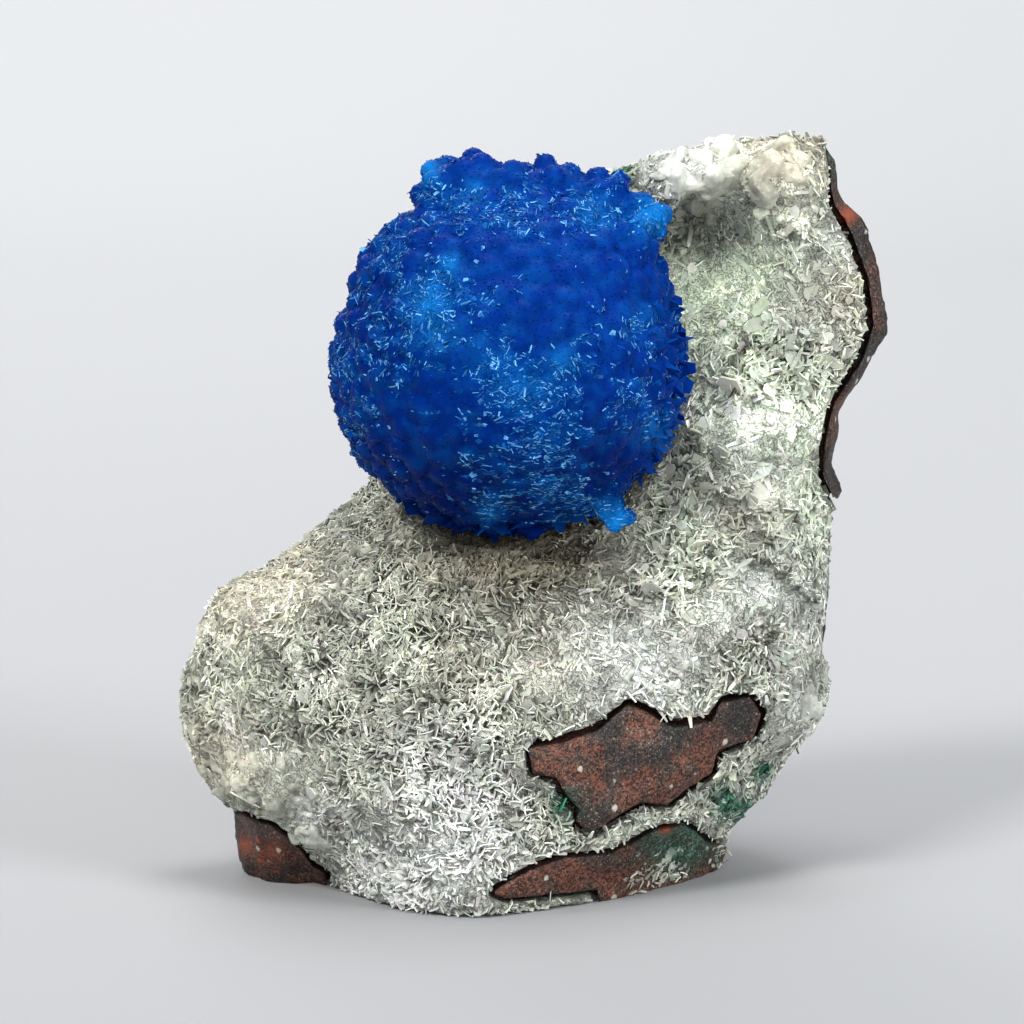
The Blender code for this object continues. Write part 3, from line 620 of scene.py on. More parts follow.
def crystalShape(pinch, shoulder=0.0, bow=0.0):
    # one crystal upright on its root: width along x, thickness along y, height 1
    bpy.ops.mesh.primitive_cube_add(size=1, location=(0, 0, 0.5))
    bpy.ops.object.transform_apply(location=True, rotation=False, scale=False)
    bpy.ops.object.mode_set(mode="EDIT")
    if bow:  # bent across its width
        pick("EDGE", lambda ends: abs(ends[0, 0] - ends[1, 0]) > 0.5)
        bpy.ops.mesh.subdivide(number_cuts=2)
        pick("EDGE", lambda ends: np.abs(ends[:, 0]).max() < 0.3)
        bpy.ops.transform.translate(value=(0, bow, 0))
    pick("FACE", lambda corners: corners[:, 2].min() > 0.9)
    if shoulder:
        bpy.ops.transform.translate(value=(0, 0, -shoulder))
        bpy.ops.mesh.extrude_region_move(TRANSFORM_OT_translate={"value": (0, 0, shoulder)})
    bpy.ops.transform.resize(value=(pinch[0], pinch[1], 1), center_override=(0, 0, 1))
    bpy.ops.object.mode_set(mode="OBJECT")
    return shapeOf(bpy.context.object)


def growCrystals(name, shape, roots, axes, across, sizes, tints, material):
    # copies of one crystal joined in a single mesh; sizes are width, thickness and length
    points, faces = shape
    side = unit(np.cross(axes, across))
    across = np.cross(side, axes)
    scaled = points[None] * sizes[:, None, :]
    places = (roots[:, None, :] + scaled[..., :1] * across[:, None, :]
              + scaled[..., 1:2] * side[:, None, :] + scaled[..., 2:] * axes[:, None, :])
    inside = ((places > boxLow) & (places < boxHigh)).all(axis=(1, 2))
    places, tints = places[inside], tints[inside]
    count = len(places)
    corners = np.concatenate([np.array(face) for face in faces])
    sizesOfFaces = np.array([len(face) for face in faces])
    loops = (corners[None] + (np.arange(count) * len(points))[:, None]).ravel()
    totals = np.tile(sizesOfFaces, count)
    mesh = bpy.data.meshes.new(name)
    mesh.vertices.add(count * len(points))
    mesh.vertices.foreach_set("co", places.astype(np.float32).ravel())
    mesh.loops.add(len(loops))
    mesh.loops.foreach_set("vertex_index", loops.astype(np.int32))
    mesh.polygons.add(len(totals))
    mesh.polygons.foreach_set("loop_start", (np.cumsum(totals) - totals).astype(np.int32))
    mesh.update(calc_edges=True)
    mesh.validate()
    mesh.shade_flat()
    setColours(mesh, "tint", np.repeat(tints, len(points), axis=0))
    # grow runs from 0 at the root to 1 at the tip, and rim marks the thin sides and the tip, for painted
    # shade and highlights
    setNumbers(mesh, "grow", "POINT", np.tile(clamp(points[:, 2]), count))
    middles = np.array([points[face].mean(axis=0) for face in faces])
    thinSides = (np.abs(middles[:, 0]) > 0.34) | (middles[:, 2] > 0.9)
    setNumbers(mesh, "rim", "FACE", np.tile(thinSides, count))
    piece = bpy.data.objects.new(name, mesh)
    bpy.context.collection.objects.link(piece)
    mesh.materials.append(material)
    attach(piece, "root")
    mesh.calc_loop_triangles()
    print(name, count, "crystals,", len(mesh.loop_triangles), "triangles")
    return piece


# basalt

basaltValues = {
    "voxel": 0.00026,
    "lumps": (2.4, -0.45, 0.5),  # size and depth in millimetres, and the middle level
    "grain": (0.45, -0.24, 0.3),
    "seam": 0.5,  # dark edge along the crust: black stone, and painted shade under the crust's edge
    "flush": 1.8,  # less relief this near to the crust
    "base": 0.3,  # no relief below this height
    "horn": ((15.8, 0.6), (36.8, 1.6), 0.35),  # the top of the right rim leans to the crust
    "patchSize": 6.0,  # green patches at the back
    "shadeAngle": 40,
    "greenSpots": [
        (672, 852, 26, 1.2), (692, 842, 18, 1.0), (566, 802, 14, 0.9), (836, 160, 14, 0.9),
        (624, 178, 9, 1.0), (226, 815, 9, 1.0)],
    "darkSpots": [
        (742, 712, 26, 1.0), (646, 840, 20, 1.0), (700, 735, 16, 0.3), (268, 818, 22, 1.0),
        (300, 830, 14, 0.8), (285, 872, 20, 0.7), (245, 872, 12, 0.8), (262, 845, 12, 0.4),
        (835, 180, 26, 0.8), (838, 470, 40, 1.0), (545, 720, 14, 0.6), (600, 820, 24, 0.5),
        (865, 240, 30, 0.9), (885, 290, 20, 0.7), (870, 345, 22, 0.9), (850, 380, 24, 0.8)],
    "coverSpots": [  # where crystals grow on the stone
        (650, 882, 16, 1.2), (685, 890, 18, 1.2), (726, 862, 14, 1.2), (738, 842, 12, 1.0),
        (325, 845, 12, 1.0), (640, 895, 14, 1.0)],
    "rustSpots": [
        (666, 828, 5, 1.0), (245, 845, 7, 0.8), (848, 215, 8, 0.9), (543, 808, 4, 1.0),
        (272, 850, 14, 0.35)],
}

basaltTree = treeOf(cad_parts["basalt_matrix"])
crustTree = treeOf(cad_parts["stilbite_crust"])

basalt = finePiece("basalt_matrix", "basaltBreccia", basaltValues["voxel"], basaltMaterial)
startPlaces = surfaceOf(basalt)[0]
addRelief(basalt, "VORONOI", *basaltValues["lumps"], distance_metric="DISTANCE", weight_1=1.0)
addRelief(basalt, "CLOUDS", *basaltValues["grain"], noise_depth=3)
flush = np.clip(distances(crustTree, startPlaces) / (basaltValues["flush"] * mm), 0.3, 1)
places = startPlaces + (surfaceOf(basalt)[0] - startPlaces) * flush[:, None]
(x, xFade), (z, zFade), lean = basaltValues["horn"]
horn = clamp((places[:, 0] / mm - x) / xFade) * clamp((places[:, 2] / mm - z) / zFade)
places[:, 0] -= horn * lean * mm
onBase = startPlaces[:, 2] < basaltValues["base"] * mm
places[onBase, 2] = startPlaces[onBase, 2] * 0.2
setVertices(basalt, keepInBox(places))
places, normals = surfaceOf(basalt)
facing = clamp(-normals[:, 1] * 4 + 1.5)
zone = np.stack([influence(places, basaltValues[spots]) * facing
                 for spots in ("greenSpots", "darkSpots", "rustSpots")], axis=1)
behind = np.clip((cloudAt(places, basaltValues["patchSize"]) - 0.15) * 6, 0, 0.9)
zone[:, 0] = np.maximum(zone[:, 0], behind * (1 - facing))
# black seam and painted shade: the stone darkens towards the crust's edge
seam = np.clip(1.0 - distances(crustTree, places) / (basaltValues["seam"] * mm), 0, 0.7)
zone[:, 1] = np.maximum(zone[:, 1], seam)
setColours(basalt.data, "zone", zone)
smoothShade(basalt, basaltValues["shadeAngle"])
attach(basalt, "root")
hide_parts("basalt_matrix")
stoneTree = treeOf(basalt)
print("basalt", len(basalt.data.polygons), "faces")


# cavansite

ballValues = {  # centres and half sizes in millimetres, as in the frame
    "body": ((-1.5, -2.5, 29.1), (9.8, 9.4, 9.1)),
    "tiers": [((-1.3, -2.1, 32.9), (9.0, 7.9, 6.1)), ((-1.0, -0.7, 36.6), (5.5, 4.6, 3.6))],
    "knobs": [
        ((-4.7, -1.5, 38.6), 2.1), ((-3.4, -1.4, 38.8), 2.3), ((-1.3, -2.3, 39.1), 1.5),
        ((0.9, -1.3, 38.8), 1.95), ((3.8, -1.5, 38.1), 2.0), ((6.1, -2.1, 37.3), 1.5),
        ((5.2, -4.1, 36.2), 1.6), ((-2.6, -3.6, 37.0), 2.3), ((1.9, -3.8, 36.7), 2.3),
        ((3.6, -6.6, 21.6), 0.65), ((4.3, -6.8, 21.1), 0.65), ((5.0, -6.4, 21.4), 0.6),
        ((4.5, -6.2, 22.1), 0.7), ((-9.2, -2.1, 23.8), 0.65), ((-9.0, -2.1, 23.2), 0.6)],
    "sink": 0.1,  # core below the frame's surface
    "voxel": 0.00024,
    "smooth": 14,  # rounds that melt the lobes together
    "bumpPitch": 1.3,  # rounded bumps over the whole ball
    "bumpHeight": 0.62,
    "bumpRadius": 0.58,  # as a share of the pitch
    "bumpFront": (0.22, 0.68),  # share of the height in front, and what the sides add to it
    "ripple": (0.4, 0.10, 0.5),
    "halves": 29,  # the crystals are parted at this height
    "rowsBelow": 27,  # scales gather more below this height
    "teeth": (2.2, 6, 33),  # distance to the crust, the right side from here on, and up to here
    # bright: how many of a kind's crystals get painted glints of cyan and pale blue
    "kinds": {
        "points": {"pitch": 0.225, "width": (0.12, 0.28), "thickness": (0.10, 0.20), "out": (0.00, 0.07),
                   "lean": 0.25, "bright": 0.2},
        "glints": {"pitch": 0.115, "width": (0.035, 0.11), "thickness": (0.03, 0.05), "out": (0.05, 0.09),
                   "bright": 4.5, "lift": 0.12, "low": 0.0, "least": 0.47},
        "scales": {"pitch": 0.34, "width": (0.16, 0.42), "thickness": (0.04, 0.07), "out": (0.02, 0.07),
                   "bright": 2.0, "lift": 0.3, "low": 0.35, "least": 0.45},
        "teeth": {"pitch": 0.70, "width": (0.5, 1.3), "thickness": (0.16, 0.4), "out": (0.20, 0.75),
                  "lean": 0.35, "bright": 0.2},
    },
    "deep": (0.0005, 0.023, 0.215),
    # dark: navy for the painted shade on the underside and in darkSpots
    "dark": (0.0004, 0.009, 0.105),
    # cyan: the ball's own paler blue in places, and painted highlights and glints
    "cyan": (0.006, 0.18, 0.55),
    # pale: painted glints
    "pale": (0.17, 0.50, 0.86),
    # cyanSpots: paler blue, partly the ball's own colour and partly painted highlight on the upper left
    "cyanSpots": [
        (430, 300, 18, 0.6), (450, 263, 10, 0.8), (440, 335, 18, 0.35), (655, 215, 18, 1.0),
        (424, 168, 14, 0.9), (612, 522, 18, 1.0), (355, 476, 10, 1.0), (595, 212, 18, 0.4),
        (475, 188, 12, 0.4), (560, 360, 16, 0.4), (520, 385, 20, 0.3), (655, 430, 16, 0.4),
        (490, 512, 12, 0.6), (640, 320, 16, 0.3), (480, 355, 20, 0.2)],
    "glintSpots": [
        (430, 310, 36, 1.2), (400, 350, 40, 0.6), (455, 205, 22, 1.3), (435, 198, 12, 1.5),
        (515, 212, 26, 1.6), (600, 208, 22, 1.6), (570, 222, 20, 0.9), (655, 218, 18, 1.2),
        (500, 380, 34, 0.9), (560, 360, 30, 0.7), (340, 365, 22, 0.8), (640, 400, 26, 0.8),
        (545, 415, 40, 0.9), (550, 470, 40, 1.1), (570, 510, 26, 1.5), (490, 505, 22, 0.9),
        (470, 465, 30, 0.7), (630, 325, 24, 0.7), (612, 522, 20, 3.0), (545, 295, 20, 0.4),
        (390, 250, 24, 0.7), (365, 420, 24, 0.6), (500, 295, 24, 0.6)],
    "quietSpots": [
        (560, 280, 60, 0.9), (480, 175, 26, 0.8), (590, 180, 18, 0.6), (420, 480, 40, 0.9),
        (600, 470, 22, 0.8), (430, 400, 26, 0.4), (530, 330, 30, 0.4), (440, 525, 34, 0.8),
        (525, 535, 24, 0.7), (625, 450, 22, 0.7), (640, 270, 30, 0.6), (400, 450, 26, 0.5)],
    # darkSpots: painted shade, deep on the underside and faint over the upper left
    "darkSpots": [
        (400, 330, 90, 0.30), (440, 510, 60, 0.9), (520, 530, 60, 0.9), (610, 480, 50, 0.7),
        (370, 450, 40, 0.4), (560, 440, 60, 0.35), (540, 325, 40, 0.25), (460, 470, 40, 0.3)],
}
ballParts = [ballValues["body"], *ballValues["tiers"]] + [(c, (r, r, r)) for c, r in ballValues["knobs"]]


def outsideBall(places, grow=0.0):
    # above 1 for points outside every rounded part of the ball
    nearest = np.full(len(places), 99.0)
    for centre, half in ballParts:
        away = (places / mm - np.array(centre)) / (np.array(half) + grow)
        nearest = np.minimum(nearest, np.linalg.norm(away, axis=1))
    return nearest


def siteDistances(places, sites, block=2000):
    # how far each point is from its nearest site
    apart = [((places[i:i + block, None, :] - sites[None]) ** 2).sum(axis=2).min(axis=1)
             for i in range(0, len(places), block)]
    return np.sqrt(np.concatenate(apart))


spheres = []
for centre, half in ballParts:
    bpy.ops.mesh.primitive_ico_sphere_add(subdivisions=5, radius=1, location=Vector(centre) * mm)
    sphere = bpy.context.object
    sphere.scale = [(h - ballValues["sink"]) * mm for h in half]
    spheres.append(sphere)
bpy.ops.object.select_all(action="DESELECT")
for sphere in spheres:
    sphere.select_set(True)
bpy.context.view_layer.objects.active = spheres[0]
bpy.ops.object.join()
core = bpy.context.object
core.name = "cavansiteCore"
bpy.ops.object.transform_apply(location=True, rotation=True, scale=True)
remesh(core, ballValues["voxel"])
soften(core, ballValues["smooth"])
rng = np.random.default_rng(7)
places, normals = scatterOn(core, 40000, rng)
sites = places[thinOut(places, ballValues["bumpPitch"] * mm)]
places, normals = surfaceOf(core)
bumpRadius = ballValues["bumpPitch"] * ballValues["bumpRadius"] * mm
dome = np.sqrt(clamp(1 - (siteDistances(places, sites) / bumpRadius) ** 2))
inFrontShare, sideShare = ballValues["bumpFront"]
dome = (dome - 0.7) * (inFrontShare + sideShare * (1 - clamp(-normals[:, 1])))
setVertices(core, places + normals * (dome * ballValues["bumpHeight"] * mm)[:, None])
addRelief(core, "CLOUDS", *ballValues["ripple"], noise_depth=2)
core.data.materials.append(crystalMaterials["cavansite"])


def glintAt(places, normals):
    # how much the small blades with painted glints gather at a point, in level rows
    rows = places * np.array((0.4, 0.4, 1.0))
    gather = 0.8 * cloudAt(rows, 0.85) + 0.9 * cloudAt(places + 0.5, 0.42) + 0.9 * cloudAt(rows + 0.3, 0.28)
    spots = influence(places, ballValues["glintSpots"]) - influence(places, ballValues["quietSpots"])
    return gather + 0.85 * spots * inFront(normals)


def ballTints(places, normals, rng, bright):
    # deep blue with painted shade below, cyan that is partly the ball's own and partly painted highlight, and
    # painted glints of pale blue
    count = len(places)
    front = inFront(normals)
    cyan = influence(places, ballValues["cyanSpots"]) * front
    dark = influence(places, ballValues["darkSpots"]) * front
    # painted shade: darker towards the bottom of the ball
    shadeBelow = np.clip((25.0 - places[:, 2] / mm) / 8, 0, 0.6)
    patches = np.clip(cloudAt(places, 0.9) * 1.4, 0, 0.25) * (1 - shadeBelow)
    tints = np.tile(np.array(ballValues["deep"]), (count, 1))
    share = clamp(np.maximum(dark, shadeBelow) + 0.15 * rng.random(count))
    tints = blend(tints, ballValues["dark"], share)
    # painted glint haze of cyan where the glints gather
    glintHaze = np.clip(glintAt(places, normals) - 0.35, 0, 0.6) * 0.3
    share = clamp((cyan + glintHaze + patches * 0.4) * (0.7 + 0.3 * rng.random(count))
                    + (rng.random(count) < 0.05 * bright) * 0.4)
    tints = blend(tints, ballValues["cyan"], share)
    # painted glints of pale blue
    share = (rng.random(count) < 0.12 * bright) * rng.random(count) ** 2
    return blend(tints, ballValues["pale"], share)


setColours(core.data, "tint", ballTints(*surfaceOf(core), rng, 0.0))
setNumbers(core.data, "grow", "POINT", np.full(len(core.data.vertices), 0.6))
selectOnly(core)
bpy.ops.object.shade_smooth()
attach(core, "root")
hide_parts("cavansite_ball")
print("ball core", len(core.data.polygons), "faces,", len(sites), "bumps")

places, normals = scatterOn(core, 200000, rng)
wedge = crystalShape((0.6, 0.15))
glint = glintAt(places, normals)
for kind, values in ballValues["kinds"].items():
    picked = places + rng.random(3) * mm
    able = np.arange(len(places))
    if "least" in values:
        gather = glint + values["low"] * (places[:, 2] < ballValues["rowsBelow"] * mm)
        able = np.flatnonzero(gather > values["least"])
    elif kind == "teeth":
        reach, right, top = (length * mm for length in ballValues["teeth"])
        near = distances(crustTree, places[::4]) < reach
        near |= (places[::4, 0] > right) & (normals[::4, 1] > -0.3)
        near &= places[::4, 2] < top
        able = np.flatnonzero(near) * 4
    order = able[thinOut(picked[able], values["pitch"] * mm)]
    spots, outward = places[order], normals[order]
    count = len(spots)
    low = clamp((31.0 - spots[:, 2] / mm) / 6)
    level = unit(np.cross(outward, np.array([0.0, 0.0, 1.0])) + 1e-9)
    out = rng.uniform(*values["out"], count)
    if "lift" in values:  # blades that lie on the surface
        flat = flowAt(spots, 1.2, 5) + stray(spots, 0.35, rng)
        flat += level * ((0.1 + 1.1 * low) * rng.choice((-1, 1), count))[:, None]
        axes = unit(alongSurface(flat, outward) + outward * values["lift"])
        across = np.cross(axes, outward)
        length = 0.12 + 0.5 * rng.random(count) ** 2
        roots = spots - axes * (length * 0.5 * mm)[:, None] + outward * ((out - 0.06) * mm)[:, None]
    else:  # blades that stand on it
        axes = unit(outward + stray(spots, values["lean"], rng))
        lying = rng.random(count) < 0.2 + 0.7 * low
        across = np.where(lying[:, None], level + stray(spots, 0.2, rng), sideways(axes, rng))
        length = out + 0.3
        roots = spots - axes * 0.3 * mm
    sizes = drawSizes(values, length, rng)
    tints = ballTints(spots, outward, rng, values["bright"])
    above = spots[:, 2] > ballValues["halves"] * mm
    for half, part in (("Upper", above), ("Lower", ~above)):
        piece = growCrystals("cavansite" + kind.title() + half, wedge, roots[part], axes[part], across[part],
                             sizes[part], tints[part], crystalMaterials["cavansite"])


# stilbite crust

crustValues = {
    "voxel": 0.00030,
    "sink": (0.08, 0.42),  # bed below the frame's surface where it is calm and where it is deep
    "smooth": 5,
    "relief": (0.7, 0.22, 0.6),
    "edge": 0.45,  # nothing grows this near to the basalt
    "stoneCover": 0.12,  # how far the crystals on the stone stand out
    # flow: size, seed and strength of the currents that the crystals follow, and how much they stray
    "blades": {"pitch": 0.30, "width": (0.35, 1.0), "thickness": (0.06, 0.12), "tilt": (2, 38),
               "rise": 0.03, "turn": 0.8, "flow": (1.3, 2, 1.8, 0.45)},
    "splinters": {"pitch": 0.165, "width": (0.09, 0.36), "thickness": (0.05, 0.09), "tilt": (35, 84),
                  "rise": 0.03, "turn": 0.5, "flow": (1.3, 2, 1.8, 0.45)},
    "flakes": {"pitch": 0.75, "width": (0.25, 0.7), "thickness": (0.05, 0.09), "length": (0.4, 1.0),
               "tilt": (6, 32), "rise": 0.05, "least": 0.2, "bright": 1.05},
    "leaves": {"pitch": 1.2, "width": (0.5, 1.2), "thickness": (0.08, 0.18), "length": (0.8, 2.0),
               "tilt": (3, 20), "rise": 0.02, "least": 0.0, "bright": 1.05},
    "laths": {"pitch": 0.9, "width": (0.08, 0.20), "thickness": (0.06, 0.11), "length": (0.9, 2.3),
              "tilt": (3, 12), "rise": 0.07, "least": 0.2, "bright": 1.25},
    "plateFlow": (2.5, 31, 1.5, 0.7),
    "overhang": 0.12,  # crystals that stand out more are left out
    "bareSpots": [
        (690, 160, 55, 1.0), (775, 165, 50, 1.0), (232, 770, 40, 0.95), (290, 795, 30, 0.9),
        (720, 270, 40, 0.5), (775, 250, 36, 0.6), (745, 330, 36, 0.4), (255, 600, 40, 0.6),
        (785, 720, 36, 0.8), (790, 640, 36, 0.6), (750, 790, 40, 0.6), (700, 870, 30, 0.7),
        (655, 672, 40, 0.5), (750, 545, 36, 0.5), (690, 300, 40, 0.6), (740, 410, 36, 0.6),
        (690, 455, 26, 0.5), (720, 610, 36, 0.5), (650, 600, 26, 0.4), (540, 660, 30, 0.6),
        (330, 745, 26, 0.5), (210, 680, 26, 0.4), (430, 770, 26, 0.4), (790, 470, 30, 0.5)],
    "calmSpots": [
        (720, 270, 45, 0.9), (690, 330, 45, 0.6), (255, 600, 50, 0.9), (232, 765, 55, 1.0),
        (300, 760, 36, 0.7), (540, 668, 40, 0.9), (750, 290, 50, 0.7), (790, 560, 50, 0.7),
        (690, 165, 60, 1.0), (770, 160, 50, 1.0), (600, 630, 40, 0.5), (720, 450, 40, 0.7),
        (650, 670, 50, 0.6), (380, 870, 40, 0.5), (770, 480, 40, 0.6), (820, 620, 40, 0.6),
        (700, 600, 30, 0.5)],
    "deepSpots": [
        (300, 680, 60, 0.8), (350, 710, 50, 0.7), (440, 620, 60, 0.5), (470, 720, 50, 0.6),
        (430, 790, 40, 0.5), (695, 225, 26, 1.0), (500, 570, 60, 0.5), (650, 490, 30, 0.5),
        (760, 640, 30, 0.6), (780, 345, 34, 0.9), (700, 560, 20, 0.6), (255, 728, 16, 0.8)],
    "cream": (0.44, 0.455, 0.385),
    "white": (0.70, 0.72, 0.68),
    "green": (0.70, 0.80, 0.60),
    "sand": (0.62, 0.58, 0.45),
    # painted shade: dull grey-brown under the ball and in recesses
    "stain": (0.155, 0.14, 0.10),
    "celadonite": (0.022, 0.105, 0.065),
    "rust": (0.34, 0.07, 0.02),
    "celadoniteSpots": [
        (722, 797, 12, 1.6), (744, 814, 15, 1.5), (762, 770, 9, 1.4), (566, 802, 15, 1.3),
        (226, 814, 9, 1.4), (625, 176, 9, 1.4), (702, 862, 14, 1.3), (684, 846, 14, 1.2),
        (664, 840, 11, 0.8), (332, 826, 5, 1.0)],
    "rustSpots": [(543, 808, 4, 0.8), (334, 824, 4, 0.5), (848, 215, 7, 1.2)],
    "greenSpots": [
        (735, 290, 75, 1.0), (770, 430, 70, 0.7), (800, 520, 50, 0.6), (680, 350, 50, 0.7),
        (250, 690, 40, 0.3), (400, 640, 30, 0.3), (700, 540, 50, 0.4)],
    "whiteSpots": [
        (680, 160, 40, 0.8), (655, 672, 45, 0.6), (380, 870, 50, 0.7), (430, 750, 40, 0.4),
        (750, 470, 60, 0.5), (780, 590, 60, 0.5), (600, 650, 50, 0.4), (320, 815, 20, 1.0),
        (460, 810, 60, 0.8), (450, 870, 60, 0.9), (800, 320, 30, 0.5), (830, 250, 30, 0.4),
        (250, 730, 30, 0.4), (810, 710, 30, 0.6), (700, 380, 40, 0.4)],
    "sandSpots": [
        (240, 600, 50, 0.7), (225, 750, 45, 0.8), (780, 160, 45, 0.9), (700, 195, 16, 0.8),
        (820, 300, 40, 0.5), (760, 500, 40, 0.4), (745, 520, 30, 0.5), (300, 570, 40, 0.5),
        (450, 670, 40, 0.4), (545, 660, 30, 0.5)],
    # where the painted shade falls: under the ball and in recesses
    "stainSpots": [
        (480, 555, 62, 0.95), (570, 550, 62, 0.95), (850, 290, 30, 0.5), (700, 225, 25, 0.6),
        (820, 150, 26, 0.4), (400, 540, 50, 0.3), (250, 728, 14, 0.5)],
}


calm, deep = crustValues["sink"]


def sinkAt(places, normals):
    # how far the bed lies under the tips: little where the druse is calm, more where it is open
    spots = influence(places, crustValues["deepSpots"]) - influence(places, crustValues["calmSpots"])
    openness = 0.45 + 1.1 * cloudAt(places, 3.4) + 0.5 * cloudAt(places, 1.2) + spots * inFront(normals)
    return calm + (deep - calm) * clamp(openness)


bed = finePiece("stilbite_crust", "stilbiteBed", crustValues["voxel"], bedMaterial)
startPlaces = surfaceOf(bed)[0]
fromBasalt = distances(basaltTree, startPlaces)
soften(bed, crustValues["smooth"])
places, normals = surfaceOf(bed)
places = startPlaces + (places - startPlaces) * np.clip(fromBasalt / (0.7 * mm), 0.2, 1)[:, None]
share = clamp((fromBasalt / mm - 0.45) / 0.8)
sink = sinkAt(places, normals)
places -= normals * (share * sink * mm)[:, None]
setVertices(bed, keepInBox(places, 0.05 * mm))
addRelief(bed, "CLOUDS", *crustValues["relief"], noise_depth=3)
setVertices(bed, keepInBox(surfaceOf(bed)[0]))


def crustTints(places, normals, rng, strength):
    count = len(places)
    front = inFront(normals)
    tints = np.tile(np.array(crustValues["cream"]), (count, 1))
    # the crust's own colours, and painted shade under the ball and in recesses
    for colour in ("green", "sand", "white", "stain", "celadonite", "rust"):
        tints = blend(tints, crustValues[colour], influence(places, crustValues[colour + "Spots"]) * front)
    cloud = cloudAt(places, 3.1) + 0.7 * cloudAt(places, 1.1)
    tints *= np.exp(0.50 * cloud + strength * rng.normal(size=count))[:, None]
    tints *= 1 + 0.03 * rng.normal(size=(count, 3))
    return np.clip(tints, 0.01, 0.95)


rng = np.random.default_rng(21)
places, normals = surfaceOf(bed)
# painted shade: the bed is darker where it lies deep under the tips, and lighter in bare spots
bedPaintedShade = 0.95 - 0.60 * (sink - calm) / (deep - calm)
bedPaintedShade *= 1 + 0.45 * influence(places, crustValues["bareSpots"]) * inFront(normals)
setColours(bed.data, "tint", crustTints(places, normals, rng, 0.0) * bedPaintedShade[:, None])
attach(bed, "root")
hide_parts("stilbite_crust")
print("bed", len(bed.data.polygons), "faces")

places, normals = scatterOn(bed, 300000, rng)
fromBasalt = distances(basaltTree, places)
free = (fromBasalt > crustValues["edge"] * mm) & (outsideBall(places) > 1.0)
stonePlaces, stoneNormals = scatterOn(basalt, 120000, rng)
covered = (influence(stonePlaces, basaltValues["coverSpots"]) > 0.45) & (stoneNormals[:, 1] < -0.2)
places = np.concatenate([places[free], stonePlaces[covered]])
normals = np.concatenate([normals[free], stoneNormals[covered]])
fromBasalt = np.concatenate([fromBasalt[free], np.zeros(covered.sum())])
bentBlade = crystalShape((0.7, 0.7), 0.0, 0.35)
splinter = crystalShape((0.4, 0.6))
flake = crystalShape((0.3, 0.9), 0.3)
lath = crystalShape((0.35, 0.6), 0.14)
room = distances(crustTree, places) / mm  # millimetres between the bed and the frame's surface
onStone = np.arange(len(room)) >= free.sum()
room[onStone] = crustValues["stoneCover"]
bare = influence(places, crustValues["bareSpots"]) * inFront(normals)
rightSide = clamp((places[:, 0] / mm - 3.0) / 3.0)
coarse = rightSide * (0.9 + 0.5 * (places[:, 2] > 18 * mm)) + 0.9 * cloudAt(places, 4.0) - 0.35


def overhang(places):
    # how far points stand out of the frame's crust
    out = []
    for place in places:
        found, normal, _, _ = crustTree.find_nearest(Vector(place))
        out.append((Vector(place) - found).dot(normal))
    return np.array(out)


def flowing(spots, outward, size, seed, pull, freedom):
    # directions along the surface that turn slowly from place to place
    flat = unit(flowAt(spots, size, seed) * pull + stray(spots, freedom, rng))
    return unit(alongSurface(flat, outward))


def tipHeights(order, rise):
    # millimetres from the bed to the tips, which end near the frame's surface
    return np.minimum(room[order], sinkAt(places[order], normals[order])) + rise * rng.random(len(order))


def plantCrust(name, shape, order, roots, axes, across, sizes, tints, material):
    # the crystals of one kind, parted over four regions and kept clear of the ball
    tips = roots + axes * sizes[:, 2:]
    clear = (outsideBall(tips, 0.1) > 1.0) & (outsideBall((tips + roots) / 2, 0.1) > 1.0)
    clear &= (overhang(tips) < crustValues["overhang"] * mm) | onStone[order]
    right = roots[:, 0] >= 3 * mm
    parts = {"Left": roots[:, 0] < -5 * mm, "Middle": (roots[:, 0] >= -5 * mm) & ~right,
             "Right": right & (roots[:, 2] < 20 * mm), "Column": right & (roots[:, 2] >= 20 * mm)}
    for region, part in parts.items():
        part = part & clear
        if part.sum() < 20:
            continue
        piece = growCrystals("stilbite" + name.title() + region, shape, roots[part], axes[part], across[part],
                             sizes[part], tints[part], crystalMaterials[material])


# thin bent blades that stand on edge, and splinters tilted like shingles between them
for name, shape in (("blades", bentBlade), ("splinters", splinter)):
    values = crustValues[name]
    order = thinOut(places + rng.random(3) * mm, values["pitch"] * mm)
    order = order[rng.random(len(order)) > 0.3 * clamp(coarse[order])]
    openness = (sinkAt(places[order], normals[order]) - calm) / (deep - calm)
    order = order[rng.random(len(order)) < (0.4 + 0.9 * openness) * (1 - bare[order])]
    spots, outward = places[order], normals[order]
    count = len(spots)
    flat = flowing(spots, outward, *values["flow"])
    tilt = np.radians(rng.uniform(*values["tilt"], count))
    axes = outward * np.cos(tilt)[:, None] + flat * np.sin(tilt)[:, None]
    across = unit(np.cross(flat, outward) + stray(spots, values["turn"], rng))
    high = tipHeights(order, values["rise"])
    length = np.minimum((high + 0.2) / np.cos(tilt), rng.uniform(0.5, 1.2, count))
    roots = spots + outward * ((high - length * np.cos(tilt)) * mm)[:, None]
    sizes = drawSizes(values, length, rng)
    tints = crustTints(spots, outward, rng, 0.30)
    plantCrust(name, shape, order, roots, axes, across, sizes, tints, "stilbiteBlades")

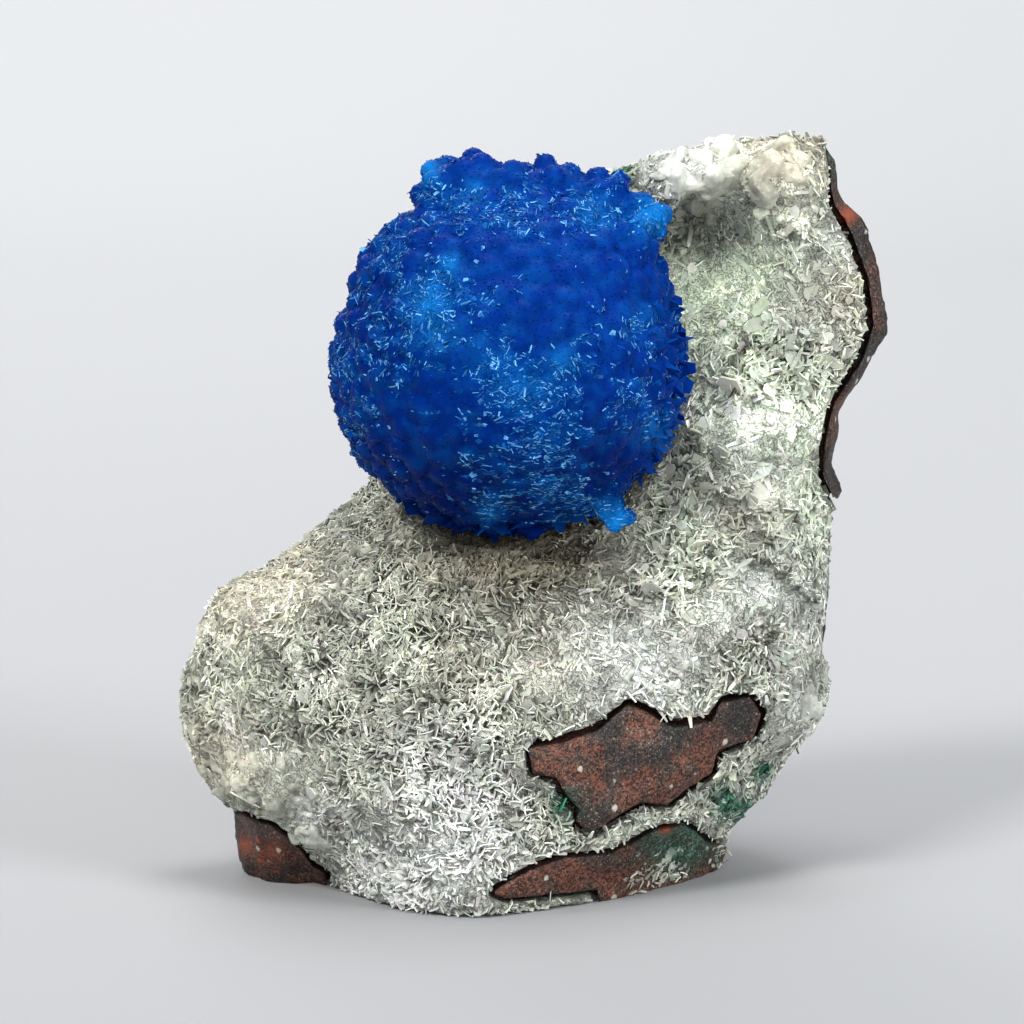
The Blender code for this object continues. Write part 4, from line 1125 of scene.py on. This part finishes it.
# plates that lie on the others
for name, shape in (("flakes", flake), ("leaves", flake), ("laths", lath)):
    values = crustValues[name]
    order = thinOut(places + rng.random(3) * mm, values["pitch"] * mm)
    chance = np.clip(coarse[order] * 1.3, values["least"], 1.0)
    if name == "leaves":  # the large ones keep off the edges
        chance = 0.6 * chance * (fromBasalt[order] > 1.4 * mm)
    order = order[rng.random(len(order)) < chance]
    spots, outward = places[order], normals[order]
    count = len(spots)
    flat = flowing(spots, outward, *crustValues["plateFlow"])
    tilt = np.radians(rng.uniform(*values["tilt"], count))
    axes = flat * np.cos(tilt)[:, None] + outward * np.sin(tilt)[:, None]
    across = unit(np.cross(flat, outward) + stray(spots, 0.16, rng))
    length = rng.uniform(*values["length"], count)
    high = tipHeights(order, values["rise"])
    roots = spots + outward * ((high - length * np.sin(tilt)) * mm)[:, None]
    roots -= axes * (length * 0.4 * mm)[:, None]
    width = rng.uniform(*values["width"], count) * length / np.mean(values["length"])
    sizes = crystalSizes(width, rng.uniform(*values["thickness"], count), length)
    tints = np.clip(crustTints(spots, outward, rng, 0.16) * values["bright"], 0, 0.9)
    plantCrust(name, shape, order, roots, axes, across, sizes, tints, "stilbiteLeaves")


# massive zeolite: rounded, thicker crystals melted together in groups

zeoliteValues = {
    "voxel": 0.00013,
    "lumps": (0.8, -0.20, 0.1),  # size and depth in millimetres, and the middle level
    "grain": (0.3, 0.08, 0.5),
    "corner": 0.24,  # bevel of a crystal that is 1 wide
    "shadeAngle": 45,
    "groups": [  # middle (x, z), spread, how many, size
        ((7.6, 38.9), 2.0, 22, 2.2), ((10.4, 39.9), 1.4, 12, 2.0), ((13.2, 39.2), 2.2, 24, 1.9),
        ((-16.6, 6.4), 2.2, 50, 1.1), ((-13.6, 4.9), 2.0, 44, 1.1), ((-18.6, 9.4), 1.6, 24, 0.9),
        ((-12.2, 3.3), 0.9, 16, 1.0), ((7.0, 12.9), 1.6, 34, 0.9), ((5.0, 12.9), 1.2, 20, 0.8),
        ((15.4, 9.6), 1.6, 30, 1.0), ((-8.0, 1.6), 2.6, 70, 0.8), ((9.6, 37.3), 0.9, 10, 1.5),
        ((12.2, 4.6), 1.6, 26, 0.7), ((7.4, 1.6), 1.2, 40, 0.6), ((10.4, 3.2), 0.9, 24, 0.6),
        ((9.0, 2.0), 1.0, 24, 0.5)],
}

bedTree = treeOf(bed)


def onCrust(x, z):
    # where the front of the matrix is at x, z in millimetres: place, direction, face and distance
    start = Vector((x * mm, -0.05, z * mm))
    trees = (bedTree, stoneTree) if x > 5 else (bedTree,)
    hits = [tree.ray_cast(start, Vector((0, 1, 0))) for tree in trees]
    return min((hit for hit in hits if hit[0] is not None), key=lambda hit: hit[3], default=None)


bpy.ops.mesh.primitive_cube_add(size=1, location=(0, 0, 0.5))
bpy.ops.object.transform_apply(location=True, rotation=False, scale=False)
bpy.ops.object.mode_set(mode="EDIT")
bpy.ops.mesh.select_all(action="SELECT")
bpy.ops.mesh.bevel(offset=zeoliteValues["corner"], segments=1, affect="EDGES")
bpy.ops.object.mode_set(mode="OBJECT")
blockShape = shapeOf(bpy.context.object)
roots, outward, scale = [], [], []
for (x, z), spread, many, size in zeoliteValues["groups"]:
    for i in range(many):
        shift = rng.normal(size=2) * spread * 0.5
        hit = onCrust(x + shift[0], z + shift[1])
        if hit is None:
            continue
        roots.append(hit[0][:])
        outward.append(hit[1][:])
        scale.append(size * (0.35 + 0.75 * rng.random() ** 2))
roots, outward, scale = np.array(roots), np.array(outward), np.array(scale)
count = len(roots)
axes = unit(outward + stray(roots, 0.5, rng))
sizes = crystalSizes(*[scale * rng.uniform(*span, count) for span in ((0.8, 1.2), (0.45, 0.8), (0.7, 1.1))])
roots -= axes * sizes[:, 2:] * 0.62
clear = outsideBall(roots + axes * sizes[:, 2:], 0.2) > 1.0
tints = crustTints(roots, outward, rng, 0.2)
knots = growCrystals("zeoliteKnots", blockShape, roots[clear], axes[clear], sideways(axes, rng)[clear],
                     sizes[clear], tints[clear], crystalMaterials["massiveZeolite"])
remesh(knots, zeoliteValues["voxel"])
soften(knots, 1)
addRelief(knots, "VORONOI", *zeoliteValues["lumps"], distance_metric="DISTANCE", weight_1=1.0)
addRelief(knots, "CLOUDS", *zeoliteValues["grain"], noise_depth=2)
for name in ("tint", "grow", "rim"):
    if name in knots.data.attributes:
        knots.data.attributes.remove(knots.data.attributes[name])
tints = crustTints(*surfaceOf(knots), rng, 0.06) * 0.95
setColours(knots.data, "tint", np.clip(tints, 0, 0.9))
setNumbers(knots.data, "grow", "POINT", np.full(len(knots.data.vertices), 0.8))
smoothShade(knots, zeoliteValues["shadeAngle"])
print("massive zeolite", len(knots.data.polygons), "faces")
